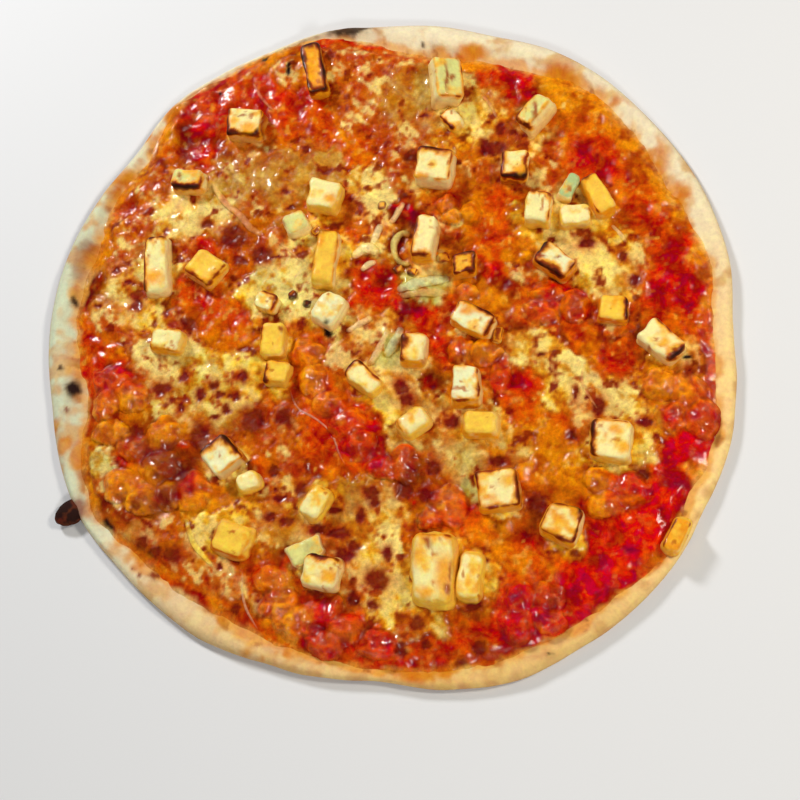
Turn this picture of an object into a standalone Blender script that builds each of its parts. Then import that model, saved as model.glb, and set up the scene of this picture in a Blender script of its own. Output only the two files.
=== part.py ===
"""Thin-crust pizza, 300 mm across, with melted cheese, tomato relish and grilled cheese cubes.

The middle of the crust's outline is the origin, +Z is up and the underside lies on z = 0.
Places are in millimetres from the middle, with +X to the right and +Y away from the viewer.
"""
import math
import random

import bmesh
import bpy
from mathutils import Matrix, Vector

MM = 0.001
SEED = 11
GAP = 0.3

# Crust: radius of the edge and of the topped area, every 10 degrees from +X
EDGE_RADII = (
    149.6, 152.4, 153.3, 153.6, 153.4, 154.3, 154.0, 151.2, 151.8, 151.3, 152.8, 151.6,
    152.6, 153.0, 148.6, 149.6, 151.0, 150.9, 149.8, 148.6, 149.9, 150.4, 148.5, 147.9,
    147.8, 145.9, 146.0, 145.8, 151.6, 156.0, 156.5, 157.0, 156.8, 154.9, 154.3, 151.7)
TOPPED_RADII = (
    141.0, 144.0, 142.0, 141.0, 144.0, 145.5, 141.0, 137.0, 135.0, 141.0, 149.5, 149.5,
    150.0, 150.5, 141.0, 142.0, 138.0, 138.0, 136.0, 131.0, 140.0, 144.0, 140.0, 137.0,
    135.5, 137.0, 138.5, 141.0, 144.0, 146.5, 147.5, 148.5, 152.0, 147.0, 147.5, 143.0)
RIM_HEIGHTS = (5.6, 5.4, 7.0, 6.4, 4.4, 6.2, 6.8, 5.6, 6.2, 5.0, 5.2, 4.8)
BASE_THICKNESS = 3.4
TURN_STEPS = 60
TOP_RINGS = (0.0, 0.35, 0.7, 0.94)
RIM_SHAPE = ((0.3, 0.82), (0.6, 1.0), (0.85, 0.84), (1.0, 0.45))
RIM_FOOT = ((1.0, 0.12), (3.5, 0.0))

# A charred bubble that sticks out of the rim: x, y, half sizes along, across and up
CHAR_BUBBLE = (-134.3, -72.3, 8.0, 5.6, 3.0)
CHAR_BUBBLE_TURN = 28

# Layers on the crust
SAUCE_THICKNESS = 1.1
SAUCE_EDGE = 0.985
CHEESE_THICKNESS = 1.5
CHEESE_EDGE = 0.89
CHEESE_RINGS = (0.0, 0.17, 0.34, 0.5, 0.64, 0.78, 0.9)
CHEESE_GAP = 0.4

# Grilled cheese cubes: x, y, length, width, height, turn of the length from +X, roll about it
CUBES = (
    (-29.3, 127.5, 24.0, 8.5, 9.0, 100, 0),
    (-60.8, 102.6, 16.0, 13.0, 10.0, -4, 0),
    (31.0, 117.0, 20.0, 12.5, 10.0, 95, 24),
    (70.0, 98.5, 16.5, 9.5, 9.0, 50, -22),
    (60.5, 74.5, 11.5, 12.0, 9.0, -5, 0),
    (25.0, 76.0, 15.5, 15.0, 11.0, -8, 0),
    (-24.0, 65.5, 14.0, 12.5, 10.0, -15, 0),
    (-36.8, 53.6, 10.0, 9.5, 8.0, 20, 0),
    (-86.5, 77.0, 14.5, 9.0, 10.0, -8, 0),
    (-99.0, 37.0, 26.0, 10.0, 9.0, 92, 0),
    (-77.0, 34.5, 15.0, 13.0, 8.0, -38, 0),
    (-49.0, 17.5, 9.0, 8.0, 8.0, -20, 0),
    (-45.5, -0.5, 15.0, 9.5, 9.0, 88, 0),
    (-43.5, -15.5, 10.0, 10.0, 9.0, -5, 0),
    (-23.0, 35.5, 24.0, 9.5, 10.0, 84, 8),
    (-21.5, 12.0, 14.0, 11.0, 9.0, 60, 0),
    (21.0, 42.0, 19.0, 9.0, 12.0, 80, 0),
    (38.0, 29.5, 10.0, 9.5, 10.0, 4, 0),
    (41.0, 4.5, 17.0, 10.0, 9.0, -30, 0),
    (76.5, 28.5, 16.0, 10.0, 10.0, -38, 0),
    (70.2, 53.0, 14.5, 10.5, 11.0, 80, 0),
    (86.0, 49.0, 13.0, 8.5, 9.0, 4, 0),
    (95.5, 58.5, 18.0, 8.5, 9.0, -62, 0),
    (83.4, 62.6, 12.0, 5.5, 9.0, 62, 10),
    (119.5, -8.5, 18.0, 11.0, 10.0, -45, 0),
    (100.0, 6.5, 12.0, 11.0, 8.0, -5, 0),
    (97.0, -50.0, 16.0, 15.0, 10.0, -10, 0),
    (50.5, -69.5, 17.0, 15.5, 11.0, 5, 0),
    (76.0, -83.5, 14.0, 14.0, 11.0, -22, 0),
    (23.5, -101.5, 29.0, 16.0, 11.0, 86, 0),
    (38.5, -104.5, 18.0, 9.0, 9.0, 84, 0),
    (-22.5, -101.5, 15.0, 13.0, 11.0, -12, 0),
    (-61.0, -87.0, 15.0, 12.0, 7.0, -20, 0),
    (-26.0, -72.5, 14.0, 9.0, 9.0, 55, 0),
    (-65.5, -51.5, 13.0, 13.0, 11.0, 40, 0),
    (-54.5, -62.5, 9.0, 7.5, 8.0, 25, 0),
    (-5.5, -19.5, 16.0, 8.5, 9.0, -42, 0),
    (15.5, -7.5, 13.0, 10.0, 10.0, 86, 0),
    (15.5, -39.5, 13.0, 9.0, 9.0, 32, 0),
    (38.0, -24.5, 16.0, 11.0, 11.0, 88, 0),
    (43.5, -41.0, 14.0, 9.5, 8.0, -5, 0),
    (121.5, -89.5, 15.0, 6.0, 7.0, 62, 0),
    (-93.0, 1.5, 14.0, 10.0, 9.0, -10, 0))
CUBE_TAPER = 0.93
CUBE_BEVEL = 1.0
CUBE_WOBBLE = 0.25
CUBE_CLEARANCE = 0.45

# Lumps of tomato relish by heap: x, y, half length along X, half width along Y
RELISH = {
    "relish_left": (
        (-117, -15, 10, 9), (-109, -22, 9, 8), (-121, -25, 7, 7)),
    "relish_lower_left": (
        (-118, -38, 9, 6), (-94, -40, 9, 8), (-107, -45, 9, 7), (-95, -54, 10, 8),
        (-112, -62, 9, 8), (-101, -68, 9, 7), (-91, -66, 7, 7), (-80, -65, 9, 9)),
    "relish_bottom": (
        (-45, -103, 9, 7), (-41, -113, 10, 8), (-33, -121, 11, 8), (-22, -117, 8, 7),
        (-14, -124, 9, 8), (-22, -130, 8, 6), (0, -131, 10, 7)),
    "relish_bottom_right": (
        (57, -113, 9, 7), (69, -113, 8, 7), (57, -124, 9, 8), (69, -122, 9, 7)),
    "relish_right": (
        (118, -26, 8, 7), (128, -29, 10, 8), (122, -39, 8, 7), (134, -41, 8, 9)),
    "relish_lower_right": (
        (93, -66, 8, 6), (103, -70, 9, 8), (92, -76, 8, 6)),
    "relish_middle_right": (
        (35, -7, 6, 6), (45, -9, 8, 6), (52, -19, 6, 10)),
    "relish_middle": (
        (-32, -5, 8, 8), (-29, -18, 8, 8), (-21, -29, 9, 7), (-13, -38, 9, 8), (-8, -47, 8, 8)),
    "relish_low_middle": (
        (2, -57, 7, 6), (11, -56, 8, 8)),
    "relish_round": (
        (30, -75, 9, 9), (23, -80, 6, 5)),
    "relish_far_right": (
        (70, 8, 9, 7), (72, 16, 8, 6), (84, 11, 8, 8)),
    "relish_small": (
        (38, 18.5, 6, 5.5),),
    "relish_upper_middle": (
        (30, 60, 6, 5), (33, 53, 6, 5), (41, 55, 6, 6)),
}
RELISH_HEIGHT = 5.0
RELISH_RAISE = 0.7
RELISH_CLEARANCE = 0.5

# Shreds of cheese that haven't melted in: x, y, length, width, turn of the length from +X
SHREDS = (
    (20.0, 18.5, 21.0, 4.5, 5), (-0.5, -8.0, 16.0, 3.2, 63), (5.5, -5.5, 9.0, 4.0, 52),
    (-5.5, 35.5, 11.0, 5.0, 2), (8.5, 55.0, 13.0, 3.6, 62), (11.0, 38.0, 12.0, 3.6, 82),
    (-1.5, 46.0, 12.0, 4.0, 72), (-6.0, 4.5, 11.0, 3.0, 28), (48.0, 102.0, 12.0, 2.2, -64),
    (-72.0, 62.0, 16.0, 2.8, -52), (104.0, 40.0, 15.0, 2.6, -62))
SHRED_THICKNESS = 1.8

# Scorched crumbs and small bits fused to the cheese: x, y, radius
CRUMBS = (
    (-38.5, 21.0, 2.2), (-31.5, 17.0, 2.0), (-28.0, 50.5, 2.1), (28.5, 34.5, 2.6),
    (9.0, 30.5, 2.2), (14.5, 29.5, 2.2), (1.5, 61.0, 2.0))


def around(values, angle):
    """Value at an angle in degrees of a closed smooth curve through evenly spread values."""
    count = len(values)
    step = (angle % 360) * count / 360
    index = int(step)
    part = step - index
    before, here, after, beyond = (values[(index + shift) % count] for shift in (-1, 0, 1, 2))
    bend = 2 * here - 2 * after + (after - before) / 2 + (beyond - here) / 2
    lean = 3 * after - 3 * here - (after - before) - (beyond - here) / 2
    return here + part * ((after - before) / 2 + part * (lean + part * bend))


def outline_middle():
    """Middle of the box round the crust's edge, which becomes the origin."""
    points = []
    for step in range(TURN_STEPS):
        angle = 360 * step / TURN_STEPS
        radius = around(EDGE_RADII, angle)
        points.append((radius * math.cos(math.radians(angle)),
                       radius * math.sin(math.radians(angle))))
    columns = list(zip(*points))
    return tuple((min(column) + max(column)) / 2 for column in columns)


MIDDLE = outline_middle()


def spot(x, y, z=0.0):
    """Scene position of a place read from the middle, in metres."""
    return Vector(((x - MIDDLE[0]) * MM, (y - MIDDLE[1]) * MM, z * MM))


def ground(x, y):
    """Top of the crust inside its rim, with the low swells of baked dough."""
    swell = math.sin(x / 31 + 0.8) * math.cos(y / 27 - 0.4) + 0.6 * math.sin((x + y) / 44)
    return BASE_THICKNESS + 0.14 * swell


def rim_height(angle, width):
    """Height of the crest, which is lower where the topping comes close to the edge."""
    full = around(RIM_HEIGHTS, angle)
    return BASE_THICKNESS + 0.5 + (full - BASE_THICKNESS - 0.5) * min(1.0, width / 6)


def sauce_top(x, y):
    return ground(x, y) + GAP + SAUCE_THICKNESS


def cheese_edge(angle):
    """Where the cheese ends, as a part of the topped radius."""
    turn = math.radians(angle)
    return CHEESE_EDGE + 0.025 * math.sin(5 * turn + 1.0) + 0.02 * math.sin(9 * turn + 2.0)


def cheese_swell(x, y):
    ripple = math.sin(x / 9 + 1.7 * math.sin(y / 17)) * math.cos(y / 8 + 1.3 * math.sin(x / 21))
    return 0.45 * ripple + 0.3 * math.sin(x / 15 - y / 19)


def cheese_top(x, y):
    return sauce_top(x, y) + CHEESE_GAP + CHEESE_THICKNESS + cheese_swell(x, y)


def new_object(name, mesh, collection, material=None):
    thing = bpy.data.objects.new(name, mesh)
    collection.objects.link(thing)
    if material is not None:
        mesh.materials.append(material)
    return thing


def mesh_from(shape, name):
    """Mesh with its faces pointing out, from a bmesh that is freed."""
    shape.normal_update()
    bmesh.ops.recalc_face_normals(shape, faces=shape.faces)
    mesh = bpy.data.meshes.new(name)
    shape.to_mesh(mesh)
    shape.free()
    return mesh


def finish(name, colour, roughness):
    material = bpy.data.materials.new(name)
    material.use_nodes = True
    shader = material.node_tree.nodes["Principled BSDF"]
    shader.inputs["Base Color"].default_value = (*colour, 1.0)
    shader.inputs["Roughness"].default_value = roughness
    shader.inputs["Metallic"].default_value = 0.0
    return material


def turned(name, profile, reshape):
    """Spins a profile of (part of the radius, level) about Z, then reshapes each vertex."""
    shape = bmesh.new()
    verts = [shape.verts.new((part, 0.0, level)) for part, level in profile]
    edges = [shape.edges.new(pair) for pair in zip(verts, verts[1:])]
    bmesh.ops.spin(shape, geom=verts + edges, axis=(0, 0, 1), cent=(0, 0, 0),
                   angle=2 * math.pi, steps=TURN_STEPS, use_merge=True)
    bmesh.ops.remove_doubles(shape, verts=shape.verts, dist=0.00001)
    for vert in shape.verts:
        part = math.hypot(vert.co.x, vert.co.y)
        angle = math.degrees(math.atan2(vert.co.y, vert.co.x))
        vert.co = reshape(part, angle, vert.co.z > 0.5)
    return mesh_from(shape, name)


def topped_spot(part, angle):
    radius = part * around(TOPPED_RADII, angle)
    return radius * math.cos(math.radians(angle)), radius * math.sin(math.radians(angle))


def crust_point(part, angle, upper):
    """Crust vertex: parts up to 1 lie in the topped area and parts from 1 to 2 on the rim."""
    edge = around(EDGE_RADII, angle)
    topped = around(TOPPED_RADII, angle)
    crest = rim_height(angle, edge - topped)
    if upper and part <= 1.001:
        x, y = topped_spot(part, angle)
        rise = 0.3 if part > 0.97 else 0.0
        return spot(x, y, ground(x, y) + rise)
    if upper:
        share = part - 1
        radius = topped + share * (edge - topped)
        height = crest * dict((round(key, 2), value) for key, value in RIM_SHAPE)[round(share, 2)]
    elif part > 0.1:
        inset, lift = RIM_FOOT[0 if part > 1.8 else 1]
        radius = edge - inset
        height = crest * lift
    else:
        radius = 0.0
        height = 0.0
    turn = math.radians(angle)
    return spot(radius * math.cos(turn), radius * math.sin(turn), height)


def make_crust(collection):
    profile = [(part, 1) for part in TOP_RINGS + (1.0,)]
    profile += [(1 + share, 1) for share, _ in RIM_SHAPE]
    profile += [(1.9, 0), (1.6, 0), (0.0, 0)]
    mesh = turned("crust", profile, crust_point)
    crust = new_object("crust", mesh, collection, finish("crust", (0.80, 0.62, 0.38), 0.75))
    x, y, along, across, up = CHAR_BUBBLE
    bubble = lump("char_bubble", x, y, up + 0.1, along, across, up, CHAR_BUBBLE_TURN)
    combine(crust, "UNION", [bubble])
    return crust


def sauce_point(part, angle, upper):
    x, y = topped_spot(part, angle)
    at_edge = part > 0.95
    bottom = ground(x, y) + GAP + (0.5 if at_edge else 0.0)
    return spot(x, y, bottom + ((0.5 if at_edge else SAUCE_THICKNESS) if upper else 0.0))


def make_sauce(collection):
    rings = TOP_RINGS + (SAUCE_EDGE,)
    profile = [(part, 1) for part in rings] + [(part, 0) for part in reversed(rings)]
    mesh = turned("tomato_sauce", profile, sauce_point)
    return new_object("tomato_sauce", mesh, collection,
                      finish("tomato_sauce", (0.45, 0.04, 0.01), 0.35))


def cheese_point(part, angle, upper):
    at_edge = part > 0.85
    x, y = topped_spot(cheese_edge(angle) if at_edge else part, angle)
    bottom = sauce_top(x, y) + CHEESE_GAP
    if not upper:
        return spot(x, y, bottom)
    return spot(x, y, bottom + 0.6 if at_edge else cheese_top(x, y))


def make_cheese(collection):
    profile = [(part, 1) for part in CHEESE_RINGS]
    profile += [(part, 0) for part in reversed(CHEESE_RINGS)]
    mesh = turned("melted_cheese", profile, cheese_point)
    cheese = new_object("melted_cheese", mesh, collection,
                        finish("melted_cheese", (0.85, 0.62, 0.22), 0.4))
    bits = [make_shred(*numbers) for numbers in SHREDS]
    bits += [lump("crumb", x, y, cheese_top(x, y) + 0.5 * size, size, size, size * 0.9, detail=1)
             for x, y, size in CRUMBS]
    combine(cheese, "UNION", bits)
    wells = [cube_well(*cube) for cube in CUBES]
    for lumps in RELISH.values():
        wells += [relish_well(*numbers) for numbers in lumps]
    combine(cheese, "DIFFERENCE", wells)
    keep_largest(cheese)
    return cheese


def make_shred(x, y, length, width, turn):
    """A strip lying in the cheese, a little bowed across its length."""
    shape = bmesh.new()
    bmesh.ops.create_cube(shape, size=1.0)
    long_edges = [edge for edge in shape.edges
                  if abs(edge.verts[0].co.x - edge.verts[1].co.x) > 0.5]
    bmesh.ops.subdivide_edges(shape, edges=long_edges, cuts=2, use_grid_fill=True)
    for vert in shape.verts:
        vert.co.y += 0.8 * (0.25 - vert.co.x ** 2)
    level = cheese_top(x, y) + 0.1
    shape.transform(Matrix.Translation(spot(x, y, level))
                    @ Matrix.Rotation(math.radians(turn), 4, "Z")
                    @ Matrix.Diagonal((length * MM, width * MM, SHRED_THICKNESS * MM, 1)))
    return cutting_object("shred", shape)


def cutting_object(name, shape):
    """Object used in a boolean and then removed."""
    thing = new_object(name, mesh_from(shape, name), bpy.data.collections["cutters"])
    thing.display_type = "WIRE"
    thing.hide_render = True
    return thing


def lump(name, x, y, z, along, across, up, turn=0, detail=2):
    shape = bmesh.new()
    bmesh.ops.create_icosphere(shape, subdivisions=detail, radius=1.0)
    shape.transform(Matrix.Translation(spot(x, y, z))
                    @ Matrix.Rotation(math.radians(turn), 4, "Z")
                    @ Matrix.Diagonal((along * MM, across * MM, up * MM, 1)))
    return cutting_object(name, shape)


def well(x, y, length, width, turn, sides):
    """Upright prism that clears a place of cheese; four sides make it a box."""
    shape = bmesh.new()
    radius = 0.5 / math.cos(math.pi / sides)
    bmesh.ops.create_cone(shape, cap_ends=True, segments=sides, radius1=radius, radius2=radius,
                          depth=1.0)
    square = 45 if sides == 4 else 0
    shape.transform(Matrix.Translation(spot(x, y, 16.0))
                    @ Matrix.Rotation(math.radians(turn), 4, "Z")
                    @ Matrix.Diagonal((length * MM, width * MM, 26 * MM, 1))
                    @ Matrix.Rotation(math.radians(square), 4, "Z"))
    return cutting_object("well", shape)


def cube_well(x, y, length, width, height, turn, roll):
    lean = math.radians(abs(roll))
    across = width * math.cos(lean) + height * math.sin(lean)
    return well(x, y, length + 2 * CUBE_CLEARANCE, across + 2 * CUBE_CLEARANCE, turn, 4)


def relish_well(x, y, along, across):
    return well(x, y, 2 * (along + RELISH_CLEARANCE), 2 * (across + RELISH_CLEARANCE), 0, 9)


def baked(thing):
    """Replaces an object's mesh by what its modifiers make of it."""
    graph = bpy.context.evaluated_depsgraph_get()
    graph.update()
    mesh = bpy.data.meshes.new_from_object(thing.evaluated_get(graph))
    thing.modifiers.clear()
    old = thing.data
    thing.data = mesh
    mesh.name = thing.name
    bpy.data.meshes.remove(old)


def combine(thing, operation, others):
    """One boolean of an object with a collection of others, which are then removed."""
    group = bpy.data.collections.new("operands")
    bpy.context.scene.collection.children.link(group)
    for other in others:
        group.objects.link(other)
    modifier = thing.modifiers.new("combine", "BOOLEAN")
    modifier.operation = operation
    modifier.operand_type = "COLLECTION"
    modifier.collection = group
    modifier.solver = "EXACT"
    baked(thing)
    for other in others:
        bpy.data.objects.remove(other)
    bpy.data.collections.remove(group)


def keep_largest(thing):
    """Drops loose scraps that a boolean leaves beside the main body."""
    shape = bmesh.new()
    shape.from_mesh(thing.data)
    bmesh.ops.remove_doubles(shape, verts=shape.verts, dist=0.00001)
    left = set(shape.verts)
    groups = []
    while left:
        queue = [left.pop()]
        group = set(queue)
        while queue:
            for edge in queue.pop().link_edges:
                for vert in edge.verts:
                    if vert in left:
                        left.discard(vert)
                        group.add(vert)
                        queue.append(vert)
        groups.append(group)
    groups.sort(key=len)
    for group in groups[:-1]:
        bmesh.ops.delete(shape, geom=list(group), context="VERTS")
    shape.to_mesh(thing.data)
    shape.free()


def near(cube, lumps):
    """Whether a cube's well may touch one of a heap's lumps."""
    reach = math.hypot(cube[2], cube[3]) / 2 + 4
    return any(math.hypot(cube[0] - x, cube[1] - y) < reach + max(along, across)
               for x, y, along, across in lumps)


def make_relish(name, lumps, collection, material, chance):
    """Lumps fused into one heap with a flat foot on the sauce, cut clear of the cubes."""
    level = max(sauce_top(x, y) for x, y, _, _ in lumps) + GAP + 0.1
    pieces = []
    for x, y, along, across in lumps:
        up = RELISH_HEIGHT * chance.uniform(0.85, 1.1)
        pieces.append(lump("lump", x, y, level + RELISH_RAISE, along, across, up,
                           chance.uniform(-20, 20) if abs(along - across) < 1.5 else 0))
    heap = new_object(name, pieces[0].data.copy(), collection, material)
    bpy.data.objects.remove(pieces.pop(0))
    if pieces:
        combine(heap, "UNION", pieces)
    wells = [cube_well(*cube) for cube in CUBES if near(cube, lumps)]
    x, y = lumps[0][:2]
    foot = bmesh.new()
    bmesh.ops.create_cube(foot, size=1.0)
    foot.transform(Matrix.Translation(spot(x, y, level - 10))
                   @ Matrix.Diagonal((160 * MM, 160 * MM, 20 * MM, 1)))
    combine(heap, "DIFFERENCE", wells + [cutting_object("foot", foot)])
    keep_largest(heap)
    return heap


def make_cube(name, cube, collection, material, chance):
    """A block with softened edges, narrower at the top and a little uneven."""
    x, y, length, width, height, turn, roll = cube
    shape = bmesh.new()
    bmesh.ops.create_cube(shape, size=1.0)
    shape.transform(Matrix.Diagonal((length * MM, width * MM, height * MM, 1)))
    bmesh.ops.bevel(shape, geom=list(shape.edges), offset=CUBE_BEVEL * MM, segments=1,
                    affect="EDGES")
    for vert in shape.verts:
        taper = CUBE_TAPER if vert.co.z > 0 else 1.0
        dent = [chance.uniform(0, CUBE_WOBBLE) * MM for _ in range(3)]
        vert.co = Vector((vert.co.x * taper - math.copysign(dent[0], vert.co.x),
                          vert.co.y * taper - math.copysign(dent[1], vert.co.y),
                          vert.co.z - dent[2]))
    tilt = Matrix.Rotation(math.radians(roll), 3, "X")
    lowest = min((tilt @ vert.co).z for vert in shape.verts)
    block = new_object(name, mesh_from(shape, name), collection, material)
    block.rotation_euler = (math.radians(roll), 0.0, math.radians(turn))
    block.location = spot(x, y, cube_floor(x, y)) - Vector((0.0, 0.0, lowest))
    return block


def cube_floor(x, y):
    """Height a cube stands at: on the sauce, or on the rim where it lies out there."""
    angle = math.degrees(math.atan2(y, x))
    topped = around(TOPPED_RADII, angle)
    if math.hypot(x, y) > topped - 6:
        return rim_height(angle, around(EDGE_RADII, angle) - topped) + GAP
    return sauce_top(x, y) + GAP + 0.2


def main():
    for thing in list(bpy.data.objects):
        bpy.data.objects.remove(thing)
    pizza = bpy.data.collections.new("margherita_pizza")
    cutters = bpy.data.collections.new("cutters")
    for collection in (pizza, cutters):
        bpy.context.scene.collection.children.link(collection)
    make_crust(pizza)
    make_sauce(pizza)
    make_cheese(pizza)
    relish_finish = finish("tomato_relish", (0.62, 0.12, 0.02), 0.2)
    chance = random.Random(SEED)
    for name, lumps in RELISH.items():
        make_relish(name, lumps, pizza, relish_finish, chance)
    cube_finish = finish("grilled_cheese", (0.90, 0.80, 0.50), 0.5)
    for number, cube in enumerate(CUBES, 1):
        make_cube("cheese_cube_%02d" % number, cube, pizza, cube_finish, chance)


main()
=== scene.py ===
"""Dresses the pizza's solids: dough, sauce, melted cheese, relish and grilled cheese cubes.

Places and sizes are in millimetres from the middle of the pizza, as in the solids, with +X to the
right and +Y away from the viewer. to_scene() turns them into metres in the row frame.
"""
import math

import bmesh
import bpy
import numpy as np
from mathutils import Matrix, Vector


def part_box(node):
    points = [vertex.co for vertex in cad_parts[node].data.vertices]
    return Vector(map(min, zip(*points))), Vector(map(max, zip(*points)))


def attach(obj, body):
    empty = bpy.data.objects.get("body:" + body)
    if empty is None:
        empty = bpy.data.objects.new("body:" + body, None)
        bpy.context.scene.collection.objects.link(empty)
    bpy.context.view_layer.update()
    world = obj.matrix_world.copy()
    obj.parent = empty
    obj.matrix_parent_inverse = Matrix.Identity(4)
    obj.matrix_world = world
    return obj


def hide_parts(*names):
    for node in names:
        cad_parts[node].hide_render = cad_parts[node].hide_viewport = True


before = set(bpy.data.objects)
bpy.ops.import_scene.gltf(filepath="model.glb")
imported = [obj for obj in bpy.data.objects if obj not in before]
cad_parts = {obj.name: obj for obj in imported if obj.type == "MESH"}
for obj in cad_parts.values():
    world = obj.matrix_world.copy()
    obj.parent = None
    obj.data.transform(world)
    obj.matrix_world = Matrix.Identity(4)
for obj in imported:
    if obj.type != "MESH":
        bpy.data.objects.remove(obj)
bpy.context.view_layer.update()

MM = 0.001
CELL = 0.7
HEAP_CELL = 0.5
SKIN_REACH = 156
WELD = 0.000001
CRUST_STEPS = 1080
CUBE_CUTS = 19
SLIVER_DEPTH = 1.5
STRAND_SIDES = 10
STRAND_STEP = 0.8
FLOOR_REACH = 2.0

# Noise: how much weaker each finer layer is, and the numbers that mix a place into a value
OCTAVE_SHARE = 0.55
MIX_COLUMN, MIX_ROW, MIX_SEED, MIX_AGAIN = 374761393, 668265263, 1442695041, 1274126177
MIX_WORD = 0xFFFFFFFF

# Grain of the food: scales of its noise, and depths of its relief in metres
COARSE_GRAIN, FINE_GRAIN = 150, 560
COARSE_BUMP, FINE_BUMP = 0.0012, 0.0004

# The camera's place, and the direction from what it looks at back to it
CAMERA_PLACE = (91.4, -187.9, 571.0)
CAMERA_BACK = (0.1385, -0.2690, 0.9532)
# Lamps: place in metres, size, power and colour
LIGHTS = (
    ("window", (-0.5, 0.6, 0.6), 0.17, 6.0, (1.0, 0.98, 0.94)),
    ("lamp", (0.6, 0.1, 0.65), 0.17, 3.5, (1.0, 0.91, 0.76)),
    ("above", (0.15, -0.8, 0.7), 0.22, 3.3, (1.0, 0.97, 0.9)))

# Sizes shared with the solids
EDGE_RADII = (
    149.6, 152.4, 153.3, 153.6, 153.4, 154.3, 154.0, 151.2, 151.8, 151.3, 152.8, 151.6,
    152.6, 153.0, 148.6, 149.6, 151.0, 150.9, 149.8, 148.6, 149.9, 150.4, 148.5, 147.9,
    147.8, 145.9, 146.0, 145.8, 151.6, 156.0, 156.5, 157.0, 156.8, 154.9, 154.3, 151.7)
TOPPED_RADII = (
    141.0, 144.0, 142.0, 141.0, 144.0, 145.5, 141.0, 137.0, 135.0, 141.0, 149.5, 149.5,
    150.0, 150.5, 141.0, 142.0, 138.0, 138.0, 136.0, 131.0, 140.0, 144.0, 140.0, 137.0,
    135.5, 137.0, 138.5, 141.0, 144.0, 146.5, 147.5, 148.5, 152.0, 147.0, 147.5, 143.0)
RIM_HEIGHTS = (5.6, 5.4, 7.0, 6.4, 4.4, 6.2, 6.8, 5.6, 6.2, 5.0, 5.2, 4.8)
CHAR_BUBBLE = (-134.3, -72.3, 8.0, 5.6, 3.0)
CHAR_BUBBLE_TURN = 28
TURN_STEPS = 60
BASE_THICKNESS = 3.4


def tone(red, green, blue):
    """Linear colour from display values of 0 to 255."""
    shown = np.array((red, green, blue)) / 255
    return np.where(shown <= 0.04045, shown / 12.92, ((shown + 0.055) / 1.055) ** 2.4)


CHEESES = {
    "pale": tone(247, 238, 190), "cream": tone(248, 230, 164), "greencream": tone(208, 212, 160),
    "lime": tone(226, 214, 120), "yellow": tone(250, 216, 84), "melt": tone(255, 224, 84),
    "gold": tone(232, 160, 14), "tan": tone(204, 150, 66), "beige": tone(206, 166, 96),
    "toast": tone(204, 104, 12), "peach": tone(250, 200, 130), "pink": tone(222, 150, 96),
    "olive": tone(184, 138, 58), "tanorange": tone(210, 104, 24), "lilac": tone(206, 160, 130),
    "pinkcream": tone(240, 200, 140), "umber": tone(140, 44, 4)}
SAUCES = {
    "amber": tone(222, 134, 2), "orange": tone(220, 90, 0), "redorange": tone(208, 50, 0),
    "red": tone(200, 12, 0), "deep": tone(136, 4, 0), "brownred": tone(126, 24, 0),
    "pinkred": tone(206, 62, 20), "scarlet": tone(230, 18, 0), "blaze": tone(242, 162, 16)}
# Cheeses that lie thick and win over what is beside them
THICK = ("pale", "melt", "lime", "yellow", "cream", "greencream")
THICK_STRENGTH = 1.6
PATCH_RADIUS = 6
BROWN = tone(124, 28, 4)
CHAR = tone(36, 12, 8)
PAINTS = {
    # Besides plain flour, the flour tones are painted light and shade on the rim: cool shade on the
    # left, warm light to the lower right, shade on the near side
    "flour": tone(240, 228, 194), "flour in cool shade": tone(212, 220, 190),
    "flour in warm light": tone(252, 218, 146), "flour in near shade": tone(224, 184, 112),
    "blotch": tone(214, 164, 98), "inner rim": tone(228, 152, 34), "rim brown": tone(150, 62, 6),
    "rim stain": tone(212, 128, 10), "rim edge": tone(196, 150, 92), "rim halo": tone(150, 84, 40),
    "underside": tone(186, 132, 74), "bubble": tone(130, 60, 24), "red lump": tone(232, 44, 0),
    "amber lump": tone(236, 146, 16), "bits": tone(244, 190, 100), "peak": tone(252, 240, 186),
    "scorch": tone(190, 88, 4), "deep scorch": tone(134, 34, 0), "spot halo": tone(206, 104, 8),
    "spot": tone(154, 46, 0), "spot middle": tone(116, 26, 0), "amber relish": tone(244, 156, 12),
    "red relish": tone(220, 44, 0), "singed": tone(156, 62, 4), "burnt": tone(84, 28, 4),
    "freckle": tone(190, 104, 20)}
# What is left of the cheese's colour where it is golden, toasted and burnt
BAKED_SHARES = ((0.84, 0.55, 0.14), (0.58, 0.22, 0.02), (0.36, 0.08, 0.0))
# The light in the photograph is a little warmer than the studio light here
SAUCE_SHADE = np.array((0.92, 0.84, 0.36))
CHEESE_SHADE = np.array((0.94, 0.84, 0.46))
RIM_SHADE = np.array((0.9, 0.78, 0.5))

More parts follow.
